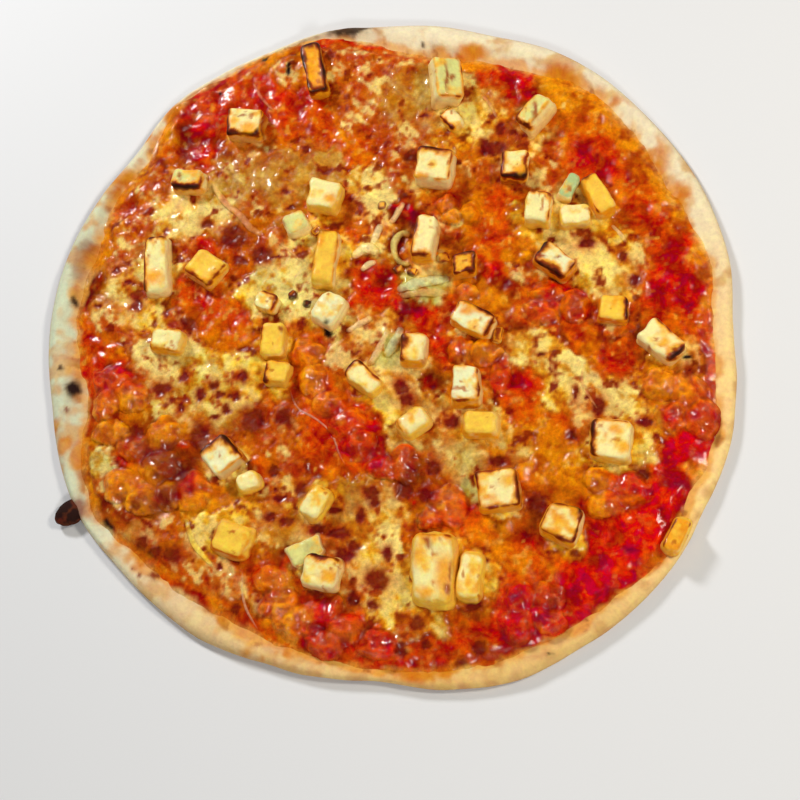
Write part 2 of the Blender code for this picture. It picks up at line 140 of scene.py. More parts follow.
# Patches of melted cheese and of sauce: x, y and, where it isn't PATCH_RADIUS, the radius
PATCHES = {
    "pale": (
        (-90, 62), (-80, 58), (-72, 63, 5), (-45, 30, 7), (-36, 28), (-48, 21), (-35, 15, 5),
        (-108, 27, 5), (-88, -5), (-82, -12, 5), (-97, -8, 5), (-104, -3, 5), (-72, -8, 5),
        (-62, -18, 5), (-92, -22, 5), (-95, -32, 4), (-122, -50), (-30, -93), (80, 42), (88, 40),
        (84, 35, 5), (95, 33, 5), (100, 27, 4), (67, -8), (74, -13), (84, -17), (88, -26, 5),
        (98, -33), (106, -37, 5), (3, -78), (4, -90), (6, -104), (5, -116, 4), (42, 97),
        (36, 104, 4), (48, 93, 4), (-7, 72), (2, 64, 4)),
    "beige": (
        (-55, 80, 8), (-42, 82, 8), (-30, 86), (-22, 82), (10, 105, 8), (18, 103, 7), (15, 111),
        (22, 124, 4), (28, -54, 8), (38, -56, 7), (-45, -78), (-35, -84), (-12, -70, 7), (8, -47),
        (15, -30), (22, -33), (60, -52, 5), (12, -20), (-108, -85), (-100, -80, 5)),
    "melt": (
        (64, 47, 5), (72, 45), (82, 45, 5), (90, 50, 4), (92, 44, 5), (-76, -80), (-64, -78),
        (-70, -88), (20, -120), (12, -112, 5), (38, -112), (44, -42, 5), (36, -40, 5), (104, -55),
        (108, -62, 5), (80, -96, 5), (78, -90, 4), (55, -78, 4)),
    "blaze": (
        (85, 108, 9), (93, 103, 8), (101, 95, 7), (108, 86), (114, 77), (119, 68, 5), (124, 58, 5),
        (129, 47, 4), (76, 116), (137, 30, 3), (-108, 97, 5), (-112, 90, 5), (-103, 106, 5),
        (-121, 76, 5), (-124, 66, 5), (-127, 55, 4), (128, -62, 3), (140, 10, 3), (40, 130, 5),
        (48, 128, 4), (115, -20, 5), (122, -26, 4), (70, -45), (64, -58, 5), (76, -55, 5)),
    "scarlet": (
        (118, -52), (126, -50), (112, -62, 5), (122, -62), (115, -72), (105, -84, 7), (96, -92, 7),
        (88, -98, 7), (94, -104, 7), (104, -98, 7), (112, -92), (80, -106), (85, -114), (70, -128),
        (125, 30), (128, 20), (96, -72, 4)),
    "lime": (
        (-85, -8, 8), (-75, -15, 9), (-90, -22, 9), (-70, -28, 9), (-58, -10, 4), (-112, 22, 5)),
    "yellow": (
        (-62, -12, 8), (-58, -25, 7), (-105, 12), (-55, 22), (40, 98, 9), (50, 90, 8), (97, 35, 11),
        (90, 22, 7), (60, 55, 5), (5, -32), (72, -12, 8), (75, -28), (108, -38), (118, -45, 7),
        (-22, -68), (-35, -70, 7), (0, -80), (-5, -95), (5, -105, 7), (3, -118)),
    "cream": (
        (45, 110), (103, 22, 8), (-2, 68), (-8, 75, 5), (-3, 42, 5), (-15, 25, 4), (-117, 32),
        (-42, 35, 7), (-30, 10, 5), (63, -8), (80, -20, 8), (98, -32, 8), (112, -55), (-75, 62, 8),
        (-92, 58, 8)),
    "greencream": (
        (-50, 30, 7), (-38, 22, 10), (5, -8), (14, 24, 5), (24, 22, 5), (35, -55), (38, -68, 5),
        (-122, -50), (-128, -70, 4)),
    "gold": (
        (-110, 90, 7), (70, 80), (85, 105), (68, 42), (35, 88, 5), (-125, 60, 8), (-52, 12, 4),
        (-38, 8, 5), (-80, -35, 8), (50, -50), (62, -48, 7), (80, -58), (118, -35, 5), (-70, -80),
        (-50, -88), (10, -80, 7), (15, -120, 5)),
    "tan": (
        (8, 120, 9), (-40, 80, 10), (-25, 85, 8), (10, 110, 8), (30, 100, 5), (-125, 22), (-70, 52),
        (5, -68), (-40, -82, 7), (-12, -85, 7), (25, -122)),
    "olive": ((20, 125), (-60, 80, 14), (15, 105, 7), (22, 118, 5), (-8, -68, 7)),
    "toast": (
        (-45, 133), (-18, 140, 9), (-15, 120, 10), (-105, 80, 7), (-55, 90, 12), (-10, 105, 9),
        (5, 95, 10), (15, 95, 7), (60, 92), (52, 112), (75, 72, 8), (112, 30), (85, 38, 7),
        (62, 25, 5), (95, 15, 5), (45, 75, 7), (10, 75, 7), (5, 85, 7), (-12, 60), (28, 50, 5),
        (-112, 55, 7), (-120, 40, 7), (-108, 3, 5), (-105, -10), (-120, -62, 5), (-112, -80, 5),
        (-88, -80), (-85, -95), (-68, -98), (-85, 50, 5), (-58, 65), (-50, 45), (-90, 12, 5),
        (-90, -32), (-70, -40), (-97, -15, 7), (-15, -5, 5), (-20, -10, 5), (-40, -38, 8),
        (-42, -48, 7), (-35, -58), (20, -48), (28, -50), (55, -5, 5), (28, -62), (68, -75, 4),
        (85, -40), (-45, -68), (-25, -85, 7), (20, -80, 5), (-10, -100, 5), (-48, -78, 5),
        (-12, -108), (12, -128), (40, -118, 5)),
    "tanorange": ((-5, 132, 12), (10, 133, 7), (-118, 12, 9)),
    "peach": ((-90, 64, 7), (-5, 58), (0, 50, 5)),
    "pink": ((-100, -82), (-60, -105, 7), (132, -18, 5)),
    "lilac": ((-78, -88, 5), (-50, -115, 4)),
    "pinkcream": (
        (20, 28, 5), (0, 5, 5), (-5, -5, 4), (3, -20), (12, -25), (8, -45), (25, -35, 5),
        (88, -28, 8), (-10, 2, 5)),
    "umber": ((-58, -35), (-80, -42, 4), (-105, -73), (-118, -75, 5), (-15, -92, 5)),
    "amber": (
        (-55, 137, 7), (-100, 100, 7), (60, 35), (140, 22, 4), (40, 62, 7), (42, 84, 5), (50, 15),
        (-120, 75, 7), (-128, 45, 7), (-108, -28), (-118, -40, 8), (-95, -38), (-128, -42, 5),
        (-130, -55, 5), (-108, -62, 7), (-98, -65, 7), (-80, -75), (-70, -70), (-55, 55, 5),
        (-70, 0), (-33, -5, 7), (70, -55, 8), (75, -68), (90, -10, 5), (88, -70, 5), (52, -88),
        (118, -27), (127, -32, 5), (45, -8), (35, 57), (-38, -110), (-32, -120, 5), (-30, -10, 7),
        (-105, -60)),
    "orange": (
        (-70, 128, 10), (-28, 105, 8), (-45, 100, 10), (-100, 92, 5), (-20, 92, 7), (-5, 90, 9),
        (80, 95, 8), (78, 85, 8), (110, 60, 8), (95, 98, 8), (122, 40, 8), (125, 0), (105, 45),
        (58, 45), (65, 12, 8), (72, 2, 5), (50, 55, 8), (30, 65, 7), (55, 62), (-10, 50),
        (30, 12, 5), (48, 38), (45, 20, 4), (-118, 65), (-130, 5, 7), (-118, 0), (-128, -28, 7),
        (-58, -115), (-60, 38), (-88, 22), (-70, 12, 8), (-62, 2, 7), (-60, 14, 5), (-50, -30, 5),
        (-28, 2), (-35, -20, 8), (-25, -25, 8), (-30, -48, 7), (-20, -58, 7), (-48, -55, 5),
        (48, -15), (62, -35), (105, -12), (85, -5), (75, -42), (28, -76, 7), (128, -30, 8),
        (138, -28, 4), (128, -45, 5), (90, -78), (65, -105), (58, -98), (45, -85, 5), (48, -134, 5),
        (15, -88, 4), (-45, -105, 7), (-35, -122, 7), (-45, -125), (35, -122), (139, 0, 5)),
    "redorange": (
        (-60, 122, 9), (-25, 146, 5), (-8, 146, 8), (-45, 112, 8), (-75, 108), (50, 122),
        (100, 88, 8), (100, 70, 7), (115, 50, 8), (120, 12, 8), (85, 8), (90, 78, 9), (-8, 30, 7),
        (2, 18, 5), (-8, 22), (25, 2), (-125, -12), (-120, -30), (-110, -50, 8), (-78, -65, 7),
        (-50, -100), (-90, 30, 5), (-12, -32, 8), (-15, -45, 8), (-28, -38, 7), (-8, -58),
        (8, -58, 7), (30, -8, 5), (55, -25, 7), (65, -22, 8), (62, -62, 5), (95, -15),
        (100, -78, 8), (75, -110), (80, -98), (60, -85), (30, -75, 8), (40, -78, 5), (-36, -112, 7),
        (-10, -132, 7), (20, -132, 7), (32, -135)),
    "red": (
        (-30, 115, 7), (-80, 95, 8), (60, 118, 8), (108, 75, 8), (128, 28, 9), (132, 12, 8),
        (118, 22), (80, 18, 7), (20, 8, 5), (50, 28, 5), (-115, -15, 10), (-60, -93, 5),
        (-80, 48, 7), (-80, 18, 8), (-5, -45, 8), (0, -50, 4), (100, -20, 5), (135, -40),
        (137, -50, 5), (125, -55, 7), (118, -65, 8), (112, -75, 9), (122, -75, 7), (108, -90, 9),
        (95, -95, 9), (118, -88, 5), (100, -105, 8), (85, -105, 8), (90, -115, 7), (78, -118, 7),
        (65, -118, 9), (55, -112, 7), (60, -130, 7), (48, -122), (72, -128, 5), (-22, -114),
        (-15, -120, 7), (-25, -128, 7), (2, -130, 7), (42, -130)),
    "deep": (
        (-90, 103, 10), (68, 112, 5), (56, 18, 5), (60, 5, 5), (10, 58, 5), (7, 45, 4), (6, 28, 5),
        (18, 52, 4), (28, 42, 5), (12, 12, 4), (-95, -52, 9), (-92, 45, 5), (22, -20, 5)),
    "brownred": (
        (-130, 30, 7), (-105, -38, 7), (-92, -68, 7), (-62, 48), (-68, 45, 4), (-85, -50, 5),
        (15, -68, 8), (20, -60), (-40, -95, 5)),
    "pinkred": ((-85, 118, 10),)}

# Scorched spots in the cheese: x, y and half sizes
SPOTS = (
    (-96, -19, 4.5, 2.5), (-86, -13.5, 2, 3), (-86.5, -28, 2, 2), (-78, -22.5, 2.3, 2.3),
    (-72, -19, 2, 2.5), (-69, -23, 2.5, 1.8), (-63, -24, 2.2, 1.8), (-66, -30, 2.2, 2),
    (-71, -33, 2.5, 1.3), (-60, -15, 2.5, 2.5), (-54, -35, 5, 6), (-78, -41, 5, 6),
    (-85, 10, 3, 4), (-109, 20, 3, 3), (-113, 31, 2, 1.5), (-119, 37, 2, 2), (-127, 21, 2, 1),
    (-119, -80, 4, 4), (-123, -74.5, 1.8, 1.8), (-134, -65, 2, 3), (-101, -87, 3, 2.5),
    (-95, -91, 4, 2.5), (-87, -92, 4, 4), (-67, -98, 1.5, 1.5), (-60, -115, 2.5, 2.5),
    (-44, -57, 2.5, 2.5), (-33, -66, 2.5, 3), (-42, -69, 3, 1.2), (-46, -77, 2.5, 1.5),
    (-39, -79, 3.5, 1.8), (-41, -34, 4, 4), (-3, -68, 3, 3.5), (-1, -72, 2.5, 2.5),
    (-19, -75, 3, 1.8), (-26, -83, 4, 2), (-16, -85, 5, 2), (-10, -90, 2.5, 2.5),
    (-14, -94, 4, 3), (-7, -78, 1.5, 3), (0, -105, 4.3, 4.3), (4, -94, 1.8, 3),
    (-10, -112, 2.5, 3), (-2, -115, 2, 2), (16, -123, 3.3, 3.3), (20, -131, 2.5, 2.5),
    (40, -116, 3, 2), (34, -140, 3, 3), (41, -133, 3, 3.5), (10, -133, 2.5, 2.5),
    (23, -58, 3, 3), (50, -56, 3.5, 2), (20, -70, 4, 3), (11, -67, 4, 4), (66, -75, 4, 5),
    (109, -64, 3, 2), (10, -23, 3, 2.5), (12, -28, 3, 3), (31, -39, 3, 3), (69, -11.5, 2.5, 1.5),
    (92, -34.5, 2.5, 4), (83.5, -28, 1.5, 2.5), (88, -30, 1, 1), (111, -42.5, 3.5, 1.8),
    (81, -46, 2.5, 2.5), (90, 38, 3, 2.5), (105, 31.5, 2, 2), (110, 20, 2.5, 2.5),
    (-52, 41, 5, 4), (-46, 39, 3.5, 0.8), (-66, 50, 6, 5), (-78, 57, 2.7, 2), (-63, 39, 3, 3),
    (-42, 70, 2, 2), (-40, 63, 2, 1.3), (51, 85, 5.5, 3), (47, 88, 2.5, 2.5), (54, 94, 2.3, 3),
    (21, 103, 2, 1.5), (15, 84, 4, 3), (34, 134, 2.5, 1.3), (-23, 137, 2.3, 2.3),
    (-33, 91, 2, 2), (-106, -38, 4, 3), (-91, -67, 4, 4), (-103, -71, 3, 3))
BLACK_SPOTS = (
    (-54, 139, 1.9, 1.9), (-42, 131, 1.5, 3.5), (-75, 122, 0.9, 0.9), (-119, -80, 4.2, 4.2),
    (-38.5, 21, 2.1, 2.1), (-31.5, 17, 1.9, 1.9), (-21.5, 3.5, 2.3, 3.4), (130, -15, 2, 1.5))

# Marks on the bare rim: x, y, half sizes and depth of colour
RIM_MARKS = (
    (-136, -17.5, 3, 4.3, 1.0), (-138, 24, 1.5, 2.5, 0.9), (-141.5, -8, 1, 1, 0.8),
    (-138, -26.5, 1, 1.6, 0.7), (-104.5, -98, 0.8, 0.8, 0.7), (-101, -100, 1, 1, 0.75),
    (-95.5, -101, 2, 1.3, 0.75), (69, -135.5, 1, 1, 0.8), (20, 139, 1.2, 1.2, 0.8),
    (-134, 49, 5, 4, 0.45), (-137, 39, 4, 7, 0.35), (-14, 149, 11, 2, 0.9),
    (103, -107.5, 1, 1, 0.5), (84, -122, 1, 1, 0.5), (-131, -71, 4, 5, 0.7))
RIM_STAINS = (
    (-142, -33, 5, 7), (-139, -43, 5, 7), (-132, -48, 5, 8), (80, 118, 14, 8), (100, 100, 12, 12),
    (118, 76, 10, 14), (130, 55, 7, 12), (-127, 45, 8, 9), (-108, 97, 8, 14), (-118, 78, 8, 10),
    (-95, 112, 9, 8), (40, 133, 10, 5), (-75, -118, 14, 6), (-100, -92, 9, 9), (20, -143, 18, 4),
    (-45, -134, 14, 4), (110, -98, 8, 8))

# Heaps of relish, as in the solids: x, y and half sizes of each lump
RELISH = {
    "relish_left": ((-117, -15, 10, 9), (-109, -22, 9, 8), (-121, -25, 7, 7)),
    "relish_lower_left": (
        (-118, -38, 9, 6), (-94, -40, 9, 8), (-107, -45, 9, 7), (-95, -54, 10, 8),
        (-112, -62, 9, 8), (-101, -68, 9, 7), (-91, -66, 7, 7), (-80, -65, 9, 9)),
    "relish_bottom": (
        (-45, -103, 9, 7), (-41, -113, 10, 8), (-33, -121, 11, 8), (-22, -117, 8, 7),
        (-14, -124, 9, 8), (-22, -130, 8, 6), (0, -131, 10, 7)),
    "relish_bottom_right": ((57, -113, 9, 7), (69, -113, 8, 7), (57, -124, 9, 8), (69, -122, 9, 7)),
    "relish_right": ((118, -26, 8, 7), (128, -29, 10, 8), (122, -39, 8, 7), (134, -41, 8, 9)),
    "relish_lower_right": ((93, -66, 8, 6), (103, -70, 9, 8), (92, -76, 8, 6)),
    "relish_middle_right": ((35, -7, 6, 6), (45, -9, 8, 6), (52, -19, 6, 10)),
    "relish_middle": (
        (-32, -5, 8, 8), (-29, -18, 8, 8), (-21, -29, 9, 7), (-13, -38, 9, 8), (-8, -47, 8, 8)),
    "relish_low_middle": ((2, -57, 7, 6), (11, -56, 8, 8)),
    "relish_round": ((30, -75, 9, 9), (23, -80, 6, 5)),
    "relish_far_right": ((70, 8, 9, 7), (72, 16, 8, 6), (84, 11, 8, 8)),
    "relish_small": ((38, 18.5, 6, 5.5),),
    "relish_upper_middle": ((30, 60, 6, 5), (33, 53, 6, 5), (41, 55, 6, 6))}
RELISH_HEIGHT = 5.0

# Grilled cheese cubes, as in the solids: x, y, length, width, height, turn, roll; then the colour
# of the top, of the side to the right and of the side to the viewer, which hold painted light and
# shade as well as the cheese's own colour, and how burnt the far, right, near and left top edges
# are, from 0 to 3; last how far it has melted, from 0 to 1
CUBES = (
    (-29.3, 127.5, 24, 8.5, 9, 100, 0, "honey crust honey 3333", 0),
    (-60.8, 102.6, 16, 13, 10, -4, 0, "pale crust blush 1133", 0.3),
    (31, 117, 20, 12.5, 10, 95, 24, "green blush milk 2111", 0.4),
    (70, 98.5, 16.5, 9.5, 9, 50, -22, "green milk milk 1132", 0.4),
    (60.5, 74.5, 11.5, 12, 9, -5, 0, "pale milk crust 1332", 0.3),
    (25, 76, 15.5, 15, 11, -8, 0, "pale milk milk 3111", 0.4),
    (-24, 65.5, 14, 12.5, 10, -15, 0, "pale gold gold 0000", 0.4),
    (-36.8, 53.6, 10, 9.5, 8, 20, 0, "green pale pale 1000", 0.7),
    (-86.5, 77, 14.5, 9, 10, -8, 0, "green milk blush 1231", 0.7),
    (-99, 37, 26, 10, 9, 92, 0, "pale milk milk 3002", 0.6),
    (-77, 34.5, 15, 13, 8, -38, 0, "gold gold amber 0220", 0.6),
    (-49, 17.5, 9, 8, 8, -20, 0, "pale pale gold 2200", 0.4),
    (-45.5, -0.5, 15, 9.5, 9, 88, 0, "gold gold gold 0001", 0.5),
    (-43.5, -15.5, 10, 10, 9, -5, 0, "gold gold gold 2013", 0.3),
    (-23, 35.5, 24, 9.5, 10, 84, 8, "gold milk gold 3101", 0.4),
    (-21.5, 12, 14, 11, 9, 60, 0, "white milk milk 0000", 0.6),
    (21, 42, 19, 9, 12, 80, 0, "milk milk honey 1022", 0.5),
    (38, 29.5, 10, 9.5, 10, 4, 0, "gold honey honey 3333", 0.2),
    (41, 4.5, 17, 10, 9, -30, 0, "white milk honey 2201", 0.4),
    (76.5, 28.5, 16, 10, 10, -38, 0, "white amber amber 1233", 0.3),
    (70.2, 53, 14.5, 10.5, 11, 80, 0, "pale milk gold 3100", 0.3),
    (86, 49, 13, 8.5, 9, 4, 0, "milk gold gold 0000", 0.5),
    (95.5, 58.5, 18, 8.5, 9, -62, 0, "gold honey honey 2001", 0.4),
    (83.4, 62.6, 12, 5.5, 9, 62, 10, "leaf leaf pale 0000", 0.3),
    (119.5, -8.5, 18, 11, 10, -45, 0, "milk milk milk 2310", 0.4),
    (100, 6.5, 12, 11, 8, -5, 0, "gold crust amber 1301", 0.4),
    (97, -50, 16, 15, 10, -10, 0, "milk milk gold 1003", 0.6),
    (50.5, -69.5, 17, 15.5, 11, 5, 0, "milk crust honey 2222", 0.4),
    (76, -83.5, 14, 14, 11, -22, 0, "pale milk honey 3221", 0.6),
    (23.5, -101.5, 29, 16, 11, 86, 0, "pale gold gold 2000", 1),
    (38.5, -104.5, 18, 9, 9, 84, 0, "milk gold gold 0000", 1),
    (-22.5, -101.5, 15, 13, 11, -12, 0, "milk milk milk 3000", 0.6),
    (-61, -87, 15, 12, 7, -20, 0, "gold gold amber 0100", 1),
    (-26, -72.5, 14, 9, 9, 55, 0, "pale gold gold 1001", 0.8),
    (-65.5, -51.5, 13, 13, 11, 40, 0, "white crust milk 2310", 0.3),
    (-54.5, -62.5, 9, 7.5, 8, 25, 0, "milk gold gold 0000", 0.9),
    (-5.5, -19.5, 16, 8.5, 9, -42, 0, "milk gold gold 2003", 0.6),
    (15.5, -7.5, 13, 10, 10, 86, 0, "milk milk honey 1003", 0.5),
    (15.5, -39.5, 13, 9, 9, 32, 0, "milk gold gold 0002", 0.8),
    (38, -24.5, 16, 11, 11, 88, 0, "white milk honey 1220", 0.4),
    (43.5, -41, 14, 9.5, 8, -5, 0, "gold gold honey 0000", 1),
    (121.5, -89.5, 15, 6, 7, 62, 0, "honey gold honey 1111", 0.8),
    (-93, 1.5, 14, 10, 9, -10, 0, "pale gold honey 1012", 0.6))
CUBE_TONES = {
    "pale": tone(250, 240, 168), "milk": tone(255, 240, 170), "white": tone(244, 246, 196),
    # The pale green side tone is cheese in the cool light from the left: painted light
    "green": tone(224, 224, 142), "leaf": tone(182, 204, 142), "gold": tone(252, 208, 74),
    "honey": tone(246, 168, 26), "amber": tone(226, 120, 8), "blush": tone(250, 184, 100),
    "crust": tone(160, 66, 12), "scorched": tone(86, 34, 12), "char": CHAR}

# Slivers of cheese and scorched crumbs that lie in the melted cheese, in the same order
SLIVERS = (
    (33, 99.5, 10, 7, 7, -50, 0, "milk milk gold 2002", 0.5),
    (-30, -92, 14, 9, 5, 25, 0, "green milk milk 0000", 0.8),
    (51.5, -2, 7, 3.6, 5.5, 80, 0, "crust gold gold 1111", 0.3),
    (-38.5, 21, 4.2, 3.8, 3.6, 20, 0, "scorched scorched crust 3333", 0.3),
    (-31.5, 17, 3.8, 3.4, 3.4, -15, 0, "scorched scorched crust 3333", 0.3),
    (-28, 50.5, 4.4, 3.8, 3.8, 40, 0, "crust crust crust 1111", 0.3),
    (28.5, 34.5, 5.2, 4.6, 4.4, 10, 0, "honey gold gold 2222", 0.4),
    (9, 30.5, 4.6, 4, 4, 30, 0, "honey gold honey 2222", 0.4),
    (14.5, 29.5, 4.4, 4, 4, -20, 0, "gold gold honey 2121", 0.4),
    (1.5, 61, 4, 3.8, 3.6, 0, 0, "honey honey honey 2222", 0.4))

# Stains on the cubes: x, y and half sizes
STAINS = {
    "honey": (
        (29, -104, 4.5, 9), (18, -96, 3, 4), (21, -111, 4, 3), (72, -88, 3, 2), (81, -79, 2, 3),
        (46, -73, 3, 2), (99, -46, 3, 2), (120, -11, 3, 2), (74, -82, 2.5, 3.5), (79, -87, 2, 2),
        (-20, 62, 4, 3), (54, -66, 3, 3), (-58, 99, 4, 3), (63, 71, 3, 2), (20, 70, 3, 2),
        (-84, 79, 3, 2), (-99, 30, 4, 4), (-26, 43, 4, 4), (39, 8, 3, 3), (102, -54, 3, 3),
        (-19, -104, 3, 3)),
    "crust": (
        (22, -91, 1.8, 2.6), (31.5, -103, 1, 4), (29.5, -110, 1.6, 1.6), (31.5, 116, 0.9, 7),
        (34, 117, 1.4, 1.4), (70, 98, 1.5, 6), (71, 30.5, 2, 1.3), (78, 29.5, 1.6, 1.1),
        (-41, 3, 1.3, 1.3), (-90, 77, 1, 2), (45, -33, 2, 2), (-62, 105, 2.5, 0.8)),
    "char": (
        (90, -58, 1.6, 1.4), (101, -60, 1.4, 1.2), (-53, 97, 1.5, 1.5), (-21.5, 4, 1.8, 2.6),
        (76, -75, 2, 1.5), (-64, -63, 1.5, 1.5), (130, -15, 1.8, 1.4), (125, -15.5, 1.2, 1.2))}

# Strands and shreds on top: width, height, colour and points
STRANDS = (
    (3.4, 0.8, "pink", ((-76, 76), (-71, 68), (-63, 60), (-58, 54), (-52, 50))),
    (1.0, 0.3, "lilac", ((-39, -21), (-35, -30), (-26, -36), (-20, -42), (-17, -50), (-14, -56))),
    (1.2, 0.3, "lilac", ((-57, -100), (-56, -113), (-50, -124))),
    (1.4, 0.5, "pink", ((-45, 46), (-40, 42), (-34, 36))),
    (1.7, 0.5, "pink", ((46, 112), (50, 106), (53, 99))),
    (1.6, 0.5, "pink", ((-59, 126), (-55, 118), (-49, 111))),
    (2.0, 0.8, "pinkcream", ((101, 46), (104, 42), (107, 37))),
    (2.6, 0.5, "yellow", ((-82, -77), (-78, -88), (-70, -97))),
    (3.0, 1.4, "pinkcream", ((-14, 3), (-8, 6), (-3, 9))),
    (3.0, 1.4, "pinkcream", ((-4, -13), (0, -6), (4, 2))),
    (4.6, 2.0, "greencream", ((3, -9), (7, -3), (10, 4))),
    (5.0, 1.2, "greencream", ((8, 21), (19, 23.5), (31, 25))),
    (4.0, 1.4, "beige", ((9, 18.5), (19, 19), (30, 18.5))),
    (3.0, 1.4, "pinkcream", ((5, 52), (8, 57), (11, 62))),
    (4.8, 2.2, "cream", ((-12, 37), (-6, 41), (0, 38))),
    (3.2, 1.4, "cream", ((-8, 31), (-4, 34), (-1, 34))),
    (3.6, 1.6, "cream", ((-3, 42), (-1.5, 46), (1, 52))),
    (3.4, 3.4, "lime", ((14, 32), (9, 34), (7, 38), (7, 43), (10, 47), (14, 46))),
    (1.4, 0.4, "pink", ((88, -14), (86, -24), (92, -36))))


# Noise
def lattice(column, row, seed):
    """Repeatable value from 0 to 1 for each whole-number place."""
    mixed = (column * MIX_COLUMN + row * MIX_ROW + seed * MIX_SEED) & MIX_WORD
    mixed = ((mixed ^ (mixed >> 13)) * MIX_AGAIN) & MIX_WORD
    return ((mixed ^ (mixed >> 16)) & 0xFFFF) / 65535.0


def noise(x, y, size, seed):
    """Smooth noise from -1 to 1 with bumps of about that size in millimetres."""
    across, down = x / size, y / size
    column, row = np.floor(across).astype(np.int64), np.floor(down).astype(np.int64)
    across, down = across - column, down - row
    across = across ** 3 * (across * (across * 6 - 15) + 10)
    down = down ** 3 * (down * (down * 6 - 15) + 10)
    near = lattice(column, row, seed) * (1 - across) + lattice(column + 1, row, seed) * across
    far = lattice(column, row + 1, seed) * (1 - across)
    far = far + lattice(column + 1, row + 1, seed) * across
    return 2 * (near * (1 - down) + far * down) - 1


def rough(x, y, size, seed, octaves=3):
    """Noise with finer noise on it."""
    shares = [OCTAVE_SHARE ** k for k in range(octaves)]
    total = sum(noise(x, y, size / 2 ** k, seed + 17 * k) * shares[k] for k in range(octaves))
    return total / sum(shares)


def ease(value, low, high):
    """0 below low, 1 above high, smooth between."""
    share = np.clip((value - low) / (high - low), 0, 1)
    return share * share * (3 - 2 * share)


def blend(first, second, share):
    """The first colour where the share is 0 and the second where it is 1."""
    return first + (second - first) * np.asarray(share)[..., None]


def stain(colour, paint, depth, value, low, high):
    """Colour with paint over it, to that depth, where the value rises from low to high."""
    return blend(colour, paint, depth * ease(value, low, high))


# Form
def between(before, here, after, beyond, part):
    """Value on the smooth curve through four in a row, part of the way from here to after."""
    return 0.5 * (2 * here + (after - before) * part
                  + (2 * before - 5 * here + 4 * after - beyond) * part ** 2
                  + (3 * here - before - 3 * after + beyond) * part ** 3)


def around(values, angle):
    """Value at an angle in degrees of a closed smooth curve through evenly spread values."""
    values = np.array(values)
    count = len(values)
    step = (np.asarray(angle) % 360.0) * count / 360.0
    index = np.floor(step).astype(int)
    return between(*(values[(index + shift) % count] for shift in (-1, 0, 1, 2)), step - index)


def polar(radius, angle):
    """Place at a radius and an angle in degrees."""
    return radius * np.cos(np.radians(angle)), radius * np.sin(np.radians(angle))


def bearing(x, y):
    return np.degrees(np.arctan2(y, x))


turn = np.arange(TURN_STEPS) * 360 / TURN_STEPS
rim_x, rim_y = polar(around(EDGE_RADII, turn), turn)
MIDDLE = np.array(((rim_x.min() + rim_x.max()) / 2, (rim_y.min() + rim_y.max()) / 2, 0.0))


def to_scene(points):
    """Millimetres from the middle to metres in the row frame."""
    return (np.asarray(points, float) - MIDDLE) * MM


def rim_at(x, y):
    """Distance from the middle, and the radii there of the crust's edge and of the topping."""
    angle = bearing(x, y)
    return np.hypot(x, y), around(EDGE_RADII, angle), around(TOPPED_RADII, angle)


def apart(x, y, place_x, place_y, half_x, half_y):
    """Square of the distance from a place, where its half sizes count as one."""
    return ((x - place_x) / half_x) ** 2 + ((y - place_y) / half_y) ** 2


def crust_level(x, y):
    """Top of the dough, with the rim's roll, dents and blisters."""
    radius, edge, topped = rim_at(x, y)
    width = edge - topped
    share = (radius - topped) / width
    swell = np.sin(x / 31 + 0.8) * np.cos(y / 27 - 0.4) + 0.6 * np.sin((x + y) / 44)
    base = BASE_THICKNESS + 0.14 * swell
    lowest = BASE_THICKNESS + 0.5
    crest = lowest + (around(RIM_HEIGHTS, bearing(x, y)) - lowest) * np.minimum(1, width / 6)
    inner = base + (crest - base) * ease(share, -0.1, 0.6)
    outer = crest * (1 - 0.55 * np.clip((share - 0.6) / 0.4, 0, 1) ** 2.2)
    dents = 0.45 * rough(x, y, 15, 3) + 0.18 * rough(x, y, 4, 5)
    for mark_x, mark_y, half_x, half_y, depth in RIM_MARKS:
        if depth > 0.6:
            away = apart(x, y, mark_x, mark_y, half_x + 0.8, half_y + 0.8)
            dents = dents + 0.7 * depth * np.exp(-away * 1.3)
    on_rim = ease(share, -0.2, 0.3) * (1 - ease(share, 0.8, 1.0))
    return np.where(share < 0.6, inner, outer) + dents * on_rim


def painted(x, y):
    """Colour of the cheese and of the sauce at each place, and how far cheese covers it."""
    wide_x, wide_y = rough(x, y, 15, 11, 2), rough(x, y, 15, 12, 2)
    fine_x, fine_y = rough(x, y, 5, 13, 3), rough(x, y, 5, 14, 3)
    moved_x, moved_y = x + 1.8 * wide_x + 2.6 * fine_x, y + 1.8 * wide_y + 2.6 * fine_y
    weights = {kind: np.full(x.shape, 1e-5) for kind in ("cheese", "sauce")}
    sums = {"cheese": weights["cheese"][..., None] * CHEESES["toast"],
            "sauce": weights["sauce"][..., None] * SAUCES["orange"]}

    def lay(kind, colour, place_x, place_y, radius, strength):
        away = ((moved_x - place_x) ** 2 + (moved_y - place_y) ** 2) / radius ** 2
        weight = strength * np.exp(-1.3 * away)
        weights[kind] += weight
        sums[kind] += weight[..., None] * colour

    for name, places in PATCHES.items():
        kind, tones = ("cheese", CHEESES) if name in CHEESES else ("sauce", SAUCES)
        strength = THICK_STRENGTH if name in THICK else 1.0
        for place_x, place_y, *size in places:
            radius = size[0] if size else PATCH_RADIUS
            lay(kind, tones[name], place_x, place_y, radius, strength)
    for place_x, place_y, length, width, _, _, _, looks, _ in CUBES:
        reach = (0.5 * max(length, width) + 1.5) * 0.8
        lay("cheese", CUBE_TONES[looks.split()[2]], place_x + 1.5, place_y - 3.5, reach, 0.8)
    cheese, sauce = (sums[kind] / weights[kind][..., None] for kind in ("cheese", "sauce"))
    cover = (weights["cheese"] - weights["sauce"]) / (weights["cheese"] + weights["sauce"] + 0.2)
    cover = cover + 0.45 * rough(x, y, 7, 21, 3) + 0.25 * rough(x, y, 2.8, 22, 2) + 0.12
    return cheese, sauce, cover


